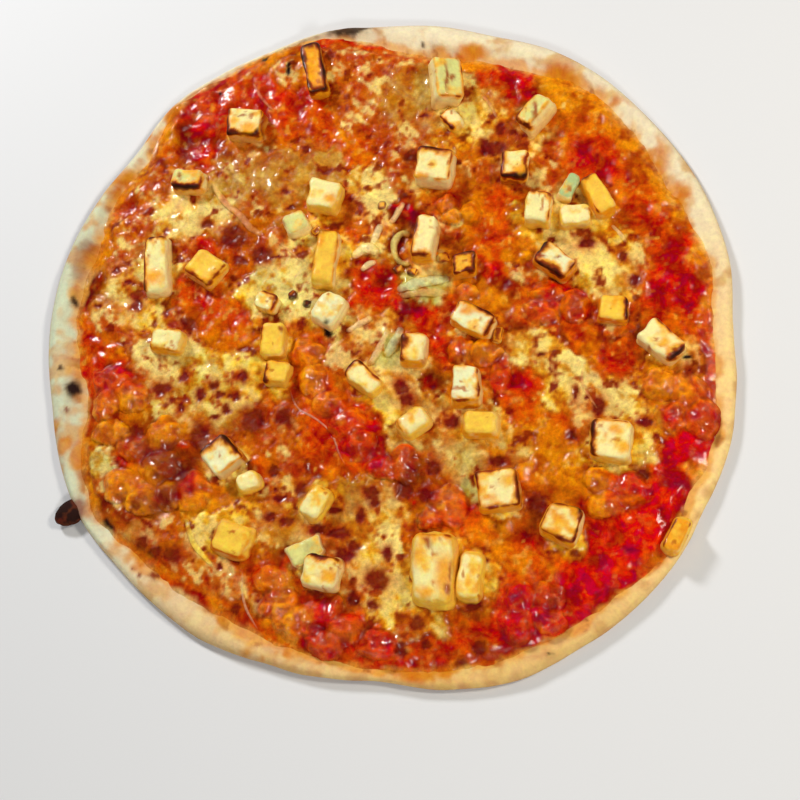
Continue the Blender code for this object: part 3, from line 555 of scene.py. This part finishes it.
def marks(x, y, places, soft=0.6, grown=1.0):
    """Depth of the uneven round marks at each place, from 0 to 1."""
    moved_x = x + 1.5 * rough(x, y, 4.2, 31) + 0.7 * rough(x, y, 1.7, 33)
    moved_y = y + 1.5 * rough(x, y, 4.2, 32) + 0.7 * rough(x, y, 1.7, 34)
    depth = np.zeros(x.shape)
    for place_x, place_y, half_x, half_y in places:
        away = np.sqrt(apart(moved_x, moved_y, place_x, place_y, half_x * grown, half_y * grown))
        depth = np.maximum(depth, 1 - ease(away, 1 - soft, 1 + soft * 0.7))
    return depth


def layer_level(x, y, cover):
    """Top of the sauce and of the cheese on it: lumps where bare, a soft sheet where covered."""
    radius, _, topped = rim_at(x, y)
    inside = topped + 1.6 * rough(x, y, 9, 41) - 0.4 - radius
    lumps = 0.5 + 0.5 * rough(x, y, 7.5, 43, 2)
    lumpy = 2.3 * lumps ** 1.4 + 0.12 * rough(x, y, 2.4, 44, 2)
    swell = 0.5 + 0.5 * rough(x, y, 8, 51, 3)
    sheet = 0.6 + 1.8 * swell + 0.18 * rough(x, y, 3.2, 52, 2)
    thick = 1.5 + 0.3 * rough(x, y, 12, 42) + ease(-cover, -0.3, 0.5) * lumpy
    thick = thick + ease(cover, -0.35, 0.7) * sheet - 0.35 * marks(x, y, SPOTS)
    dip = 0.7 * (1 - ease(inside, -2.0, 0.4))
    return crust_level(x, y) + thick * ease(inside, -1.5, 7.0) - dip


def top_level(x, y):
    """Height of what lies on top at each place, without heaps and cubes."""
    return layer_level(x, y, painted(x, y)[2])


# Meshes
def set_attribute(mesh, name, values):
    """Stores a colour (three numbers a vertex) or a plain number for each vertex."""
    values = np.asarray(values, np.float32)
    if values.ndim == 2:
        layer = mesh.attributes.new(name, "FLOAT_COLOR", "POINT")
        colour = np.ones((len(values), 4), np.float32)
        colour[:, :3] = np.clip(values, 0, 1)
        layer.data.foreach_set("color", colour.ravel())
    else:
        layer = mesh.attributes.new(name, "FLOAT", "POINT")
        layer.data.foreach_set("value", values.ravel())


def add_object(name, data):
    item = bpy.data.objects.new(name, data)
    bpy.context.scene.collection.objects.link(item)
    return item


def add_piece(name, points, faces, material, slot, replaced="", normals=None, **layers):
    """One mesh object in the row frame with its attributes, riding on the pizza."""
    mesh = bpy.data.meshes.new(name)
    mesh.from_pydata(to_scene(points).tolist(), [], faces)
    mesh.update()
    for layer, values in layers.items():
        set_attribute(mesh, layer, values)
    mesh.materials.append(material)
    mesh.shade_smooth()
    if normals is not None:
        mesh.normals_split_custom_set_from_vertices(normals.tolist())
    piece = add_object(name, mesh)
    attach(piece, "root")
    if replaced:
        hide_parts(replaced)
    return piece


def grid(low, high, cell):
    """Flat square grid of places between two corners."""
    across, up = (np.arange(low[k], high[k] + cell, cell) for k in (0, 1))
    return np.meshgrid(across, up, indexing="ij")


def grid_faces(shown, chosen=True):
    """Faces of the grid's shown and chosen cells and the numbers of the vertices they use."""
    keep = shown[:-1, :-1] & shown[1:, :-1] & shown[1:, 1:] & shown[:-1, 1:] & chosen
    number = np.arange(shown.size).reshape(shown.shape)
    corners = np.stack((number[:-1, :-1][keep], number[1:, :-1][keep],
                        number[1:, 1:][keep], number[:-1, 1:][keep]), 1)
    used, faces = np.unique(corners, return_inverse=True)
    return used, faces.reshape(corners.shape)


def listed(*grids):
    """Grids of numbers as one row for each place."""
    return np.stack([values.ravel() for values in grids], 1)


def relief(level, cell):
    """Slopes of a level along x and y, and how far it hollows at each place."""
    slope_x, slope_y = np.gradient(level, cell)
    bend = np.gradient(slope_x, cell, axis=0) + np.gradient(slope_y, cell, axis=1)
    return slope_x, slope_y, bend


def taken(shape):
    """Points and faces of a bmesh, which is freed."""
    points = np.array([vert.co[:] for vert in shape.verts])
    faces = [[vert.index for vert in face.verts] for face in shape.faces]
    shape.free()
    return points, faces


# Materials
def nodes_of(name):
    material = bpy.data.materials.new(name)
    material.use_nodes = True
    tree = material.node_tree
    return material, tree, tree.nodes["Principled BSDF"]


def add_node(tree, kind, inputs=None, output=0, **settings):
    """Output of a new node with its inputs linked or set."""
    node = tree.nodes.new(kind)
    for key, value in settings.items():
        setattr(node, key, value)
    for key, value in (inputs or {}).items():
        if isinstance(value, bpy.types.NodeSocket):
            tree.links.new(value, node.inputs[key])
        else:
            node.inputs[key].default_value = value
    return node.outputs[output]


def add_noise(tree, place, scale, detail, uneven, distortion=0.0):
    return add_node(tree, "ShaderNodeTexNoise", {
        "Vector": place, "Scale": scale, "Detail": detail, "Roughness": uneven,
        "Distortion": distortion}, "Fac")


def add_range(tree, value, low, high, to_low, to_high):
    return add_node(tree, "ShaderNodeMapRange", {
        "Value": value, "From Min": low, "From Max": high, "To Min": to_low, "To Max": to_high})


def food(name, dry, wet, grain, bump, shine, coat, melt, fleck):
    """Material that takes its colour and wetness from painted layers and adds grain and relief."""
    material, tree, shader = nodes_of(name)
    place = add_node(tree, "ShaderNodeTexCoord", output="Object")
    tint = add_node(tree, "ShaderNodeAttribute", output="Color", attribute_name="tint")
    gloss = add_node(tree, "ShaderNodeAttribute", output="Fac", attribute_name="gloss")
    wide = add_noise(tree, place, COARSE_GRAIN * grain, 5, 0.65, 0.6)
    fine = add_noise(tree, place, FINE_GRAIN * grain, 4, 0.6)
    both = add_node(tree, "ShaderNodeMath", {0: wide, 1: fine}, operation="ADD")
    uneven = add_node(tree, "ShaderNodeMath", {0: wide, 1: gloss}, operation="ADD")
    colour = add_node(tree, "ShaderNodeHueSaturation", {
        "Hue": add_range(tree, wide, 0.3, 0.7, 0.482, 0.514), "Color": tint,
        "Value": add_range(tree, both, 0.6, 1.4, 1 - fleck * 2.2, 1 + fleck * 2.2)})
    low = add_node(tree, "ShaderNodeBump", {
        "Strength": bump, "Distance": COARSE_BUMP, "Height": wide}, "Normal")
    high = add_node(tree, "ShaderNodeBump", {
        "Strength": bump, "Distance": FINE_BUMP, "Height": fine, "Normal": low}, "Normal")
    tree.links.new(colour, shader.inputs["Base Color"])
    tree.links.new(add_range(tree, uneven, 0.35, 1.55, dry, wet), shader.inputs["Roughness"])
    tree.links.new(high, shader.inputs["Normal"])
    for socket, value in (
            ("Specular IOR Level", shine), ("Coat Weight", coat), ("Coat Roughness", 0.05),
            ("Subsurface Weight", melt), ("Subsurface Radius", (1.0, 0.5, 0.2)),
            ("Subsurface Scale", 0.001)):
        shader.inputs[socket].default_value = value
    return material


dough = food("baked_dough", dry=0.8, wet=0.6, grain=1.0, bump=0.35, shine=0.15, coat=0.0,
             melt=0.15, fleck=0.06)
topping = food("sauce_and_cheese", dry=0.5, wet=0.05, grain=1.0, bump=0.45, shine=0.1, coat=0.22,
               melt=0.2, fleck=0.2)
relish = food("wet_relish", dry=0.3, wet=0.05, grain=1.0, bump=0.95, shine=0.1, coat=0.6,
              melt=0.3, fleck=0.16)
grilled = food("grilled_cheese_skin", dry=0.6, wet=0.25, grain=1.5, bump=0.2, shine=0.15,
               coat=0.12, melt=0.25, fleck=0.05)


# Crust
def rim_stains(x, y):
    """How far the dough has toasted to amber at each place, from 0 to 1."""
    depth = np.zeros(x.shape)
    for place in RIM_STAINS:
        depth = np.maximum(depth, np.exp(-1.2 * apart(x, y, *place)))
    return depth * ease(rough(x, y, 7, 63), -0.7, 0.5)


def dough_colour(x, y):
    """Pale floury rim with painted light and shade on it, toasted towards the topping and stained
    and scorched in places.
    """
    radius, edge, topped = rim_at(x, y)
    share = (radius - topped) / (edge - topped)
    # Painted light and shade: cool shade on the left, warm light to the lower right, shade on the
    # near side
    colour = stain(PAINTS["flour"], PAINTS["flour in cool shade"], 1, -x, 90, 140)
    colour = stain(colour, PAINTS["flour in warm light"], 1, x - y, 60, 180)
    colour = stain(colour, PAINTS["flour in near shade"], 0.7, -y, 80, 130)
    colour = stain(colour, PAINTS["blotch"], 0.75, rough(x, y, 9, 61), 0.0, 0.5)
    toasted = rim_stains(x, y)
    inner = 1 - ease(share + 0.5 * rough(x, y, 9, 62), 0.0, 0.35 + 0.3 * toasted)
    colour = blend(colour, PAINTS["inner rim"], (0.68 + 0.3 * toasted) * inner)
    colour = stain(colour, PAINTS["rim brown"], 0.6 * inner, rough(x, y, 5, 64), 0.22, 0.5)
    colour = stain(colour, PAINTS["rim stain"], 0.85, toasted, 0.1, 0.7)
    colour = stain(colour, PAINTS["rim edge"], 0.5, share, 0.86, 1.0)
    for *place, depth in RIM_MARKS:
        halo, mark = marks(x, y, (place,), 0.9, 1.5), marks(x, y, (place,), 0.5)
        colour = blend(colour, PAINTS["rim halo"], 0.5 * halo * depth)
        colour = blend(colour, CHAR if depth > 0.75 else BROWN, mark * depth)
    return colour


def make_crust():
    """Dough in rings, from the middle of its top over the rim to the middle of its underside."""
    angle = np.arange(CRUST_STEPS) * 360 / CRUST_STEPS
    edge, topped = around(EDGE_RADII, angle), around(TOPPED_RADII, angle)
    edge = edge - 0.35 + 0.3 * noise(angle * 2.0, angle * 0, 9, 71)
    foot = crust_level(*polar(edge, angle))
    start = topped * 0.95
    rings = [(share * topped, None) for share in (0.0, 0.3, 0.6, 0.8, 0.9)]
    rings += [(start + (edge - start) * step, None) for step in np.linspace(0, 1, 26)]
    rings += [(edge - inset, foot * lift) for inset, lift in (
        (0.0, 0.8), (0.15, 0.55), (0.6, 0.3), (1.4, 0.12), (3.5, 0.0))]
    rings += [(edge * share, foot * 0) for share in (0.9, 0.6, 0.3, 0.0)]
    points, colours = [], []
    for radius, level in rings:
        x, y = polar(radius, angle)
        colour = dough_colour(x, y)
        if level is None:
            level = crust_level(x, y)
        else:
            baked = PAINTS["underside"] * (1 + 0.2 * rough(x, y, 8, 65)[:, None])
            colour = stain(blend(colour, baked, 0.8), BROWN, 0.7, rough(x, y, 11, 66), 0.15, 0.6)
        points.append(np.stack((x, y, level), 1))
        colours.append(colour)
    faces = []
    for ring in range(len(rings) - 1):
        for k in range(CRUST_STEPS):
            here, after = (ring * CRUST_STEPS + step % CRUST_STEPS for step in (k, k + 1))
            faces.append((here, here + CRUST_STEPS, after + CRUST_STEPS, after))
    crust = add_piece("crust_dough", np.concatenate(points), faces, dough, "crust", "crust",
                      tint=np.concatenate(colours), gloss=np.zeros(len(rings) * CRUST_STEPS))
    shape = bmesh.new()
    shape.from_mesh(crust.data)
    bmesh.ops.remove_doubles(shape, verts=shape.verts, dist=WELD)
    shape.to_mesh(crust.data)
    shape.free()


def make_bubble():
    """Charred bubble that stands out of the left edge of the crust."""
    x, y, along, across, up = CHAR_BUBBLE
    shape = bmesh.new()
    bmesh.ops.create_uvsphere(shape, u_segments=64, v_segments=32, radius=1.0)
    points, faces = taken(shape)
    bumps = rough(points[:, 0], points[:, 1] + points[:, 2], 0.9, 67)[:, None]
    points = points * (1 + 0.12 * bumps) * np.array((along, across, up)) * 0.95
    turned = np.array(Matrix.Rotation(math.radians(CHAR_BUBBLE_TURN), 3, "Z"))
    points = points @ turned.T + np.array((x, y, up + 0.2))
    burnt = ease(rough(points[:, 0], points[:, 1] + points[:, 2], 4, 68), -0.3, 0.2)
    add_piece("crust_bubble", points, faces, dough, "crust", gloss=np.zeros(len(points)),
              tint=blend(PAINTS["bubble"], CHAR, 0.6 + 0.38 * burnt))


# Sauce and cheese
def warmth(sauce):
    """How far a sauce is amber and not red, from 0 to 1."""
    return ease(sauce[..., 1], 0.0, 0.1)


def sauce_tint(x, y, sauce):
    """Sauce colour, amber and pale on its lumps and deep red between them, where the hollows of its
    relief are darkened as painted shade.
    """
    lumps = 0.75 * rough(x, y, 7.5, 43, 2) + 0.45 * rough(x, y, 3.4, 46, 2)
    warm = warmth(sauce)
    bright = blend(PAINTS["red lump"], PAINTS["amber lump"], warm)
    colour = stain(sauce, bright, 0.75, lumps, 0.05, 0.5)
    # Painted shade: darker in the hollows between the raised lumps
    colour = stain(colour, sauce * np.array((0.55, 0.2, 0.1)), 0.9, -lumps, 0.0, 0.42)
    bits = rough(x, y, 3.0, 47, 2) + 0.3 * lumps
    return stain(colour, PAINTS["bits"], 0.5 * (0.25 + 0.75 * warm), bits, 0.38, 0.62)


def cheese_tint(x, y, cheese, sauce, cover):
    """Cheese in its full tone where thick, golden, toasted and brown where thin."""
    grain, fine = rough(x, y, 7.0, 81, 3), rough(x, y, 2.8, 84, 2)
    along, across = 0.64 * x - 0.77 * y, 0.77 * x + 0.64 * y
    drawn = rough(0.3 * along, across + 3 * rough(x, y, 12, 87, 2), 2.6, 88, 2)
    pale = 0.35 * np.clip(cover, -0.6, 1.0) + 0.7 * grain + 0.45 * fine + 0.4 * drawn + 0.05
    matt = ease(0.72 - cheese[..., 0], 0.0, 0.08) * ease(cheese[..., 2], 0.03, 0.05)
    pale = pale + 0.5 * matt * (0.2 - pale)
    golden, toasted, burnt = (cheese * np.array(share) for share in BAKED_SHARES)
    colour = stain(golden, stain(cheese, PAINTS["peak"], 0.7, pale, 0.35, 0.75), 1,
                   pale, 0.04, 0.42)
    colour = stain(toasted, colour, 1, pale, -0.28, 0.08)
    colour = stain(burnt, colour, 1, pale, -0.6, -0.3)
    thin = blend(sauce, CHEESES["gold"], 0.3)
    colour = stain(thin, colour, 1, cover + 0.3 * fine, -0.5, 0.7)
    scorch = rough(x, y, 5.0, 85, 3) + 0.3 * fine - 0.3 * pale - 0.07 - 0.15 * matt
    colour = stain(colour, PAINTS["scorch"], 0.75, scorch, 0.0, 0.2)
    return stain(colour, PAINTS["deep scorch"], 0.9, scorch, 0.18, 0.34)


def layer_tint(x, y, cheese, sauce, cover):
    """Colour of the sauce and cheese as one skin, with the scorched spots on it."""
    colour = stain(sauce_tint(x, y, sauce), cheese_tint(x, y, cheese, sauce, cover), 1,
                   cover, -0.75, 0.25)
    colour = blend(colour, PAINTS["spot halo"], 0.65 * marks(x, y, SPOTS, 0.8, 2.0))
    core = marks(x, y, SPOTS, 0.5, 1.3)
    colour = blend(colour, PAINTS["spot"], 0.92 * core)
    colour = stain(colour, PAINTS["spot middle"], 0.75, core, 0.7, 1.0)
    colour = blend(colour, CHAR, marks(x, y, BLACK_SPOTS, 0.35))
    return colour * stain(SAUCE_SHADE, CHEESE_SHADE, 1, cover, -0.3, 0.4)


def painted_relief_shade(tint, bend):
    """Tint with painted shade in the hollows and painted light on the crests of the relief."""
    tint = tint * (1 - ease(bend, 0.05, 0.8)[..., None] * np.array((0.3, 0.5, 0.65)))
    return tint * (1 + ease(-bend, 0.1, 0.9)[..., None] * np.array((0.08, 0.2, 0.3)))


def make_layers():
    """One skin of sauce and cheese, parted into two pieces along the edges of the cheese."""
    x, y = grid((-SKIN_REACH, -SKIN_REACH), (SKIN_REACH, SKIN_REACH), CELL)
    radius, edge, topped = rim_at(x, y)
    cheese, sauce, cover = painted(x, y)
    rim_gap = topped - radius
    cover = cover - 1.2 * (1 - ease(rim_gap, 0, 8))
    level = layer_level(x, y, cover)
    slope_x, slope_y, bend = relief(level, CELL)
    normals = listed(-slope_x, -slope_y, np.ones(x.shape))
    normals /= np.linalg.norm(normals, axis=1, keepdims=True)
    points = listed(x, y, level)
    # Painted shade in the hollows and painted light on the crests of the skin's relief
    tint = painted_relief_shade(layer_tint(x, y, cheese, sauce, cover), bend)
    fade = 1 - ease(rim_gap + 4 * rough(x, y, 9, 57), -1.0, 2.0 + 7 * rim_stains(x, y))
    tint = blend(tint, dough_colour(x, y) * RIM_SHADE, 0.9 * fade).reshape(-1, 3)
    gloss = 0.95 - 0.5 * ease(cover, -0.5, 0.7) + 0.3 * rough(x, y, 8, 55)
    gloss = (gloss * (1 - 0.9 * marks(x, y, SPOTS, 0.7))).ravel()
    covered = cover > 0
    cells = covered[:-1, :-1].astype(int) + covered[1:, :-1] + covered[1:, 1:] + covered[:-1, 1:]
    for name, node, chosen in (
            ("sauce_layer", "tomato_sauce", cells < 2),
            ("cheese_layer", "melted_cheese", cells >= 2)):
        used, faces = grid_faces(radius < np.minimum(topped + 3, edge - 0.8), chosen)
        add_piece(name, points[used], faces.tolist(), topping, node, node,
                  normals=normals[used], tint=tint[used], gloss=gloss[used])


# Relish
def make_heap(name, lumps):
    """Heap of chopped relish, folded and lumpy, that runs out into the skin around it."""
    rows = np.array(lumps, float)
    low = (rows[:, :2] - rows[:, 2:]).min(axis=0) - 3
    high = (rows[:, :2] + rows[:, 2:]).max(axis=0) + 3
    x, y = grid(low, high, HEAP_CELL)
    moved_x, moved_y = x + 2.2 * rough(x, y, 8, 91), y + 2.2 * rough(x, y, 8, 92)
    dome = np.full(x.shape, -0.5)
    for lump in lumps:
        swell = np.clip(1.1 - apart(moved_x, moved_y, *lump), 0, 1) ** 0.75
        dome = np.maximum(dome, RELISH_HEIGHT * swell - 0.6)
    chopped = rough(x, y, 7.5, 93, 2)
    fold = 1 - np.abs(rough(x, y, 6.5, 94, 2)) * 2.4
    dome = dome + ease(dome, -0.4, 1.8) * (1.2 * chopped + 0.8 * fold - 0.9)
    cheese, sauce, cover = painted(x, y)
    level = layer_level(x, y, cover) + dome
    amber = 0.7 * (0.25 + 0.75 * warmth(sauce))
    tint = blend(sauce, sauce_tint(x, y, sauce), 0.6)
    tint = stain(tint, PAINTS["amber relish"], amber, chopped, -0.35, 0.3)
    tint = stain(tint, PAINTS["red relish"], 0.3, rough(x, y, 8, 95), 0.1, 0.4)
    # Painted shade: deep red in the low parts between the heap's folds
    tint = stain(tint, SAUCES["deep"], 0.4, -fold, -0.35, 0.2) * SAUCE_SHADE * 1.12
    tint = stain(layer_tint(x, y, cheese, sauce, cover), tint, 1, dome, 0.0, 2.2)
    _, _, bend = relief(level, HEAP_CELL)
    # Painted shade in the hollows and painted light on the crests of the heap
    tint = painted_relief_shade(tint, np.clip(bend, -0.9, 0.4) * ease(dome, 0.0, 0.6))
    tint = blend(tint, BROWN, 0.7 * marks(x, y, SPOTS, 0.5))
    used, faces = grid_faces(dome > -0.45)
    add_piece(name.replace("relish_", "heap_"), listed(x, y, level)[used], faces.tolist(), relish,
              "tomato_relish", name, tint=tint.reshape(-1, 3)[used], gloss=np.ones(len(used)))


# Cubes
def rounded_box(half, corner):
    """Finely cut box with round corners: its places from -1 to 1, points, faces and normals."""
    shape = bmesh.new()
    bmesh.ops.create_cube(shape, size=2.0)
    bmesh.ops.subdivide_edges(shape, edges=shape.edges, cuts=CUBE_CUTS, use_grid_fill=True)
    unit, faces = taken(shape)
    core = np.clip(unit * half, -(half - corner), half - corner)
    out = unit * half - core
    size = np.linalg.norm(out, axis=1, keepdims=True)
    normals = out / np.maximum(size, 1e-9)
    return unit, core + normals * np.minimum(size, corner), faces, normals


def burnt_edges(local, half, flare, spin, burns, below, uneven, patchy):
    """How burnt each point is, by how near it lies to the four burnt top edges."""
    burn = np.zeros(len(local))
    for strength, direction in zip(map(int, burns), (90, 0, -90, 180)):
        if not strength:
            continue
        aim = math.radians(direction) - spin
        toward = (math.cos(aim), math.sin(aim))
        axis = 0 if abs(toward[0]) >= abs(toward[1]) else 1
        gap = np.maximum(half[axis] * flare - np.sign(toward[axis]) * local[:, axis], 0)
        reach = np.maximum((0.5 + 0.45 * strength) * (1 + 0.9 * uneven), 0.25)
        share = np.exp(-np.hypot(gap, 0.6 * below) / reach) * (0.25 + 0.25 * strength)
        burn = np.maximum(burn, share * (1 + 0.5 * patchy))
    return burn


def make_cube(name, node, number, cube):
    """One rounded cube or sliver; a sliver has no node and stands in the melted cheese."""
    place_x, place_y, length, width, height, turned, roll, looks, slump = cube
    top, right, near, burns = looks.split()
    if node:
        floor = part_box(node)[0][2] / MM
    else:
        floor = top_level(np.array([place_x]), np.array([place_y]))[0] - SLIVER_DEPTH
    half = np.array((length * 1.05, width * 1.07, height)) / 2
    unit, local, faces, normals = rounded_box(half, min(1.3 + 2.6 * slump, half.min() * 0.75))
    seed = 100 + number
    top_share = unit[:, 2] * 0.5 + 0.5
    flare = 1.0 - 0.03 * ease(top_share, 0.1, 1.0)
    wave = rough(local[:, 0] + 31 * number, local[:, 1] + local[:, 2], 7, seed, 3)
    wave_side = rough(local[:, 1] - 17 * number, local[:, 2] - local[:, 0], 6, seed + 50, 3)
    bow = rough(local[:, 1] + 13 * number, local[:, 0] - 29 * number, 11, seed + 60, 1)
    spread = 1.8 * slump * (1 + 0.7 * wave) * (1 - ease(top_share, 0.0, 0.3 + 0.4 * slump))
    heading = unit[:, :2] / np.maximum(np.linalg.norm(unit[:, :2], axis=1, keepdims=True), 0.3)
    local[:, 0] = local[:, 0] * flare + 0.8 * wave_side + 0.7 * bow + heading[:, 0] * spread
    local[:, 1] = local[:, 1] * flare + 0.8 * wave - 0.7 * bow + heading[:, 1] * spread
    bumps = rough(local[:, 0], local[:, 1] + 9 * number, 5, seed + 9)
    sunk = (1 - unit[:, 0] ** 2) * (1 - unit[:, 1] ** 2)
    local[:, 2] += ease(unit[:, 2], 0.5, 1.0) * (0.6 * bumps - 0.5 * sunk)
    spin, lean = math.radians(turned), math.radians(roll)
    matrix = np.array((Matrix.Rotation(spin, 3, "Z") @ Matrix.Rotation(lean, 3, "X")))
    points, normals = local @ matrix.T, normals @ matrix.T
    points += (place_x, place_y, floor - points[:, 2].min() - 0.8)
    x, y = points[:, 0], points[:, 1]
    cheese, sauce, cover = painted(x, y)
    level = layer_level(x, y, cover)
    points[:, 2] += (1 - ease(top_share, 0.02, 0.3)) * np.minimum(level - 1.2 - points[:, 2], 0)
    slanted = y + points[:, 2]

    # Top or side by where the vertex faces, with painted light and shade that differ from face to
    # face, then the burnt edges, then what lies around it
    on_top = ease(normals[:, 2], 0.45, 0.8)
    mottle = rough(x, slanted, 5, seed + 3, 3)
    # The side to the viewer and the side to the right take their own tones: the cheese's colour
    # with painted light and shade on each face
    side = stain(CUBE_TONES[near], CUBE_TONES[right], 1, normals[:, 0] + normals[:, 1], -0.4, 0.4)
    side = stain(side, CUBE_TONES["milk"], 0.4, -mottle, 0.0, 0.5)
    crown = stain(CUBE_TONES[top], CUBE_TONES["gold"], 0.55 + 0.4 * slump,
                  mottle, 0.05 - 0.15 * slump, 0.55)
    crown = stain(crown, CUBE_TONES["honey"], 0.6, mottle, 0.35, 0.7)
    colour = blend(side, crown, on_top)
    burn = burnt_edges(local, half, flare, spin, burns, (1 - top_share) * height,
                       rough(x, slanted, 3.4, seed + 5, 3), rough(x, y, 4.5, seed + 11, 2))
    colour = stain(colour, CUBE_TONES["honey"], 0.9, burn, 0.06, 0.26)
    colour = stain(colour, PAINTS["singed"], 1, burn, 0.24, 0.42)
    colour = stain(colour, PAINTS["burnt"], 0.9, burn, 0.42, 0.6)
    colour = stain(colour, CHAR, 0.85, burn, 0.64, 0.85)
    colour = stain(colour, PAINTS["freckle"], 0.8, rough(x, y, 3.0, seed + 7, 2), 0.55, 0.75)
    golden = 0.5 * (1 - ease(top_share + 0.25 * mottle, 0.2, 0.7))
    colour = blend(colour, CHEESES["gold"], golden)
    colour = stain(colour, layer_tint(x, y, cheese, sauce, cover), 0.35 + 0.5 * slump,
                   level + 1.6 + 1.2 * mottle - points[:, 2], 0.0, 1.6)
    for paint, places in STAINS.items():
        laid = 0.9 * marks(x, y, places, 0.7) * (0.3 + 0.7 * on_top)
        colour = blend(colour, CUBE_TONES[paint], laid)
    add_piece(name, points, faces, grilled, "grilled_cheese", node, tint=colour,
              gloss=np.full(len(points), 0.45))


# Strands
def make_strand(number, width, height, name, places):
    """Strand of cheese along a smooth curve through the places, sunk in at its ends."""
    ends = np.array((places[0], *places, places[-1]), float)
    path = []
    for k in range(1, len(ends) - 2):
        count = max(3, int(np.hypot(*(ends[k + 1] - ends[k])) / STRAND_STEP))
        path += [between(*ends[k - 1:k + 3], step) for step in np.arange(count) / count]
    path = np.array(path + [ends[-1]])
    along = np.gradient(path, axis=0)
    along /= np.linalg.norm(along, axis=1, keepdims=True)
    across = np.stack((-along[:, 1], along[:, 0]), 1)
    share = np.linspace(0, 1, len(path))
    half = 0.5 * width * np.clip(4 * share * (1 - share), 0, 1) ** 0.3
    half = half * (1 + 0.3 * rough(path[:, 0], path[:, 1], 4, 111 + number))
    level = top_level(path[:, 0], path[:, 1]) + 0.15 * height
    points, faces, fade = [], [], []
    for k in range(len(path)):
        for side in range(STRAND_SIDES):
            turned = 2 * math.pi * side / STRAND_SIDES
            offset = across[k] * half[k] * math.cos(turned)
            rise = height * half[k] / width * math.sin(turned)
            points.append((*(path[k] + offset), level[k] + rise))
            fade.append(1 - math.sin(turned) * min(1, 5 * share[k] * (1 - share[k])))
    for k in range(len(path) - 1):
        for side in range(STRAND_SIDES):
            here, after = (k * STRAND_SIDES + turn % STRAND_SIDES for turn in (side, side + 1))
            faces.append((here, after, after + STRAND_SIDES, here + STRAND_SIDES))
    points = np.array(points)
    x, y = points[:, 0], points[:, 1]
    mottle = ease(rough(x, y, 3, 121 + number), 0.1, 0.6)
    mix = np.clip(0.2 + 0.4 * mottle + 0.7 * np.array(fade) + 0.2 * (width < 2), 0, 1)
    add_piece("strand_%02d" % number, points, faces, topping, "melted_cheese",
              tint=blend(CHEESES[name], layer_tint(x, y, *painted(x, y)), mix),
              gloss=np.full(len(points), 0.5))


make_crust()
make_layers()
for heap, lumps in RELISH.items():
    make_heap(heap, lumps)
for number, cube in enumerate(CUBES, 1):
    make_cube("cube_%02d" % number, "cheese_cube_%02d" % number, number, cube)
for number, sliver in enumerate(SLIVERS, 1):
    make_cube("sliver_%02d" % number, "", 60 + number, sliver)
for number, strand in enumerate(STRANDS, 1):
    make_strand(number, *strand)
make_bubble()


# Floor, lights and camera
def make_floor():
    mesh = bpy.data.meshes.new("floor")
    corners = ((-1, -1), (1, -1), (1, 1), (-1, 1))
    mesh.from_pydata([(x * FLOOR_REACH, y * FLOOR_REACH, 0) for x, y in corners], [],
                     [(0, 1, 2, 3)])
    material, _, shader = nodes_of("pale_floor")
    shader.inputs["Base Color"].default_value = (0.79, 0.82, 0.88, 1)
    shader.inputs["Roughness"].default_value = 0.8
    mesh.materials.append(material)
    add_object("floor", mesh)


def add_light(name, place, size, power, colour):
    """Round lamp at a place, facing the middle of the pizza."""
    light = bpy.data.lights.new(name, "AREA")
    light.shape = "DISK"
    light.size = size
    light.energy = power
    light.color = colour
    lamp = add_object(name, light)
    lamp.location = place
    lamp.rotation_euler = Vector(place).to_track_quat("Z", "Y").to_euler()


def make_camera():
    """Camera at the photograph's place, from its distance, height and swing."""
    back = Vector(CAMERA_BACK).normalized()
    right = Vector((0, 1, 0)).cross(back).normalized()
    place = Vector(to_scene(CAMERA_PLACE))
    camera = add_object("camera", bpy.data.cameras.new("camera"))
    camera.matrix_world = Matrix((*zip(right, back.cross(right), back, place), (0, 0, 0, 1)))
    camera.data.sensor_width = 36
    camera.data.lens = 63
    bpy.context.scene.camera = camera


make_floor()
for name, place, size, power, colour in LIGHTS:
    add_light(name, place, size, power, colour)
world = bpy.data.worlds.new("studio")
world.use_nodes = True
world.node_tree.nodes["Background"].inputs["Color"].default_value = (1.0, 0.95, 0.86, 1)
world.node_tree.nodes["Background"].inputs["Strength"].default_value = 0.13
bpy.context.scene.world = world
bpy.context.scene.view_settings.view_transform = "Standard"
make_camera()
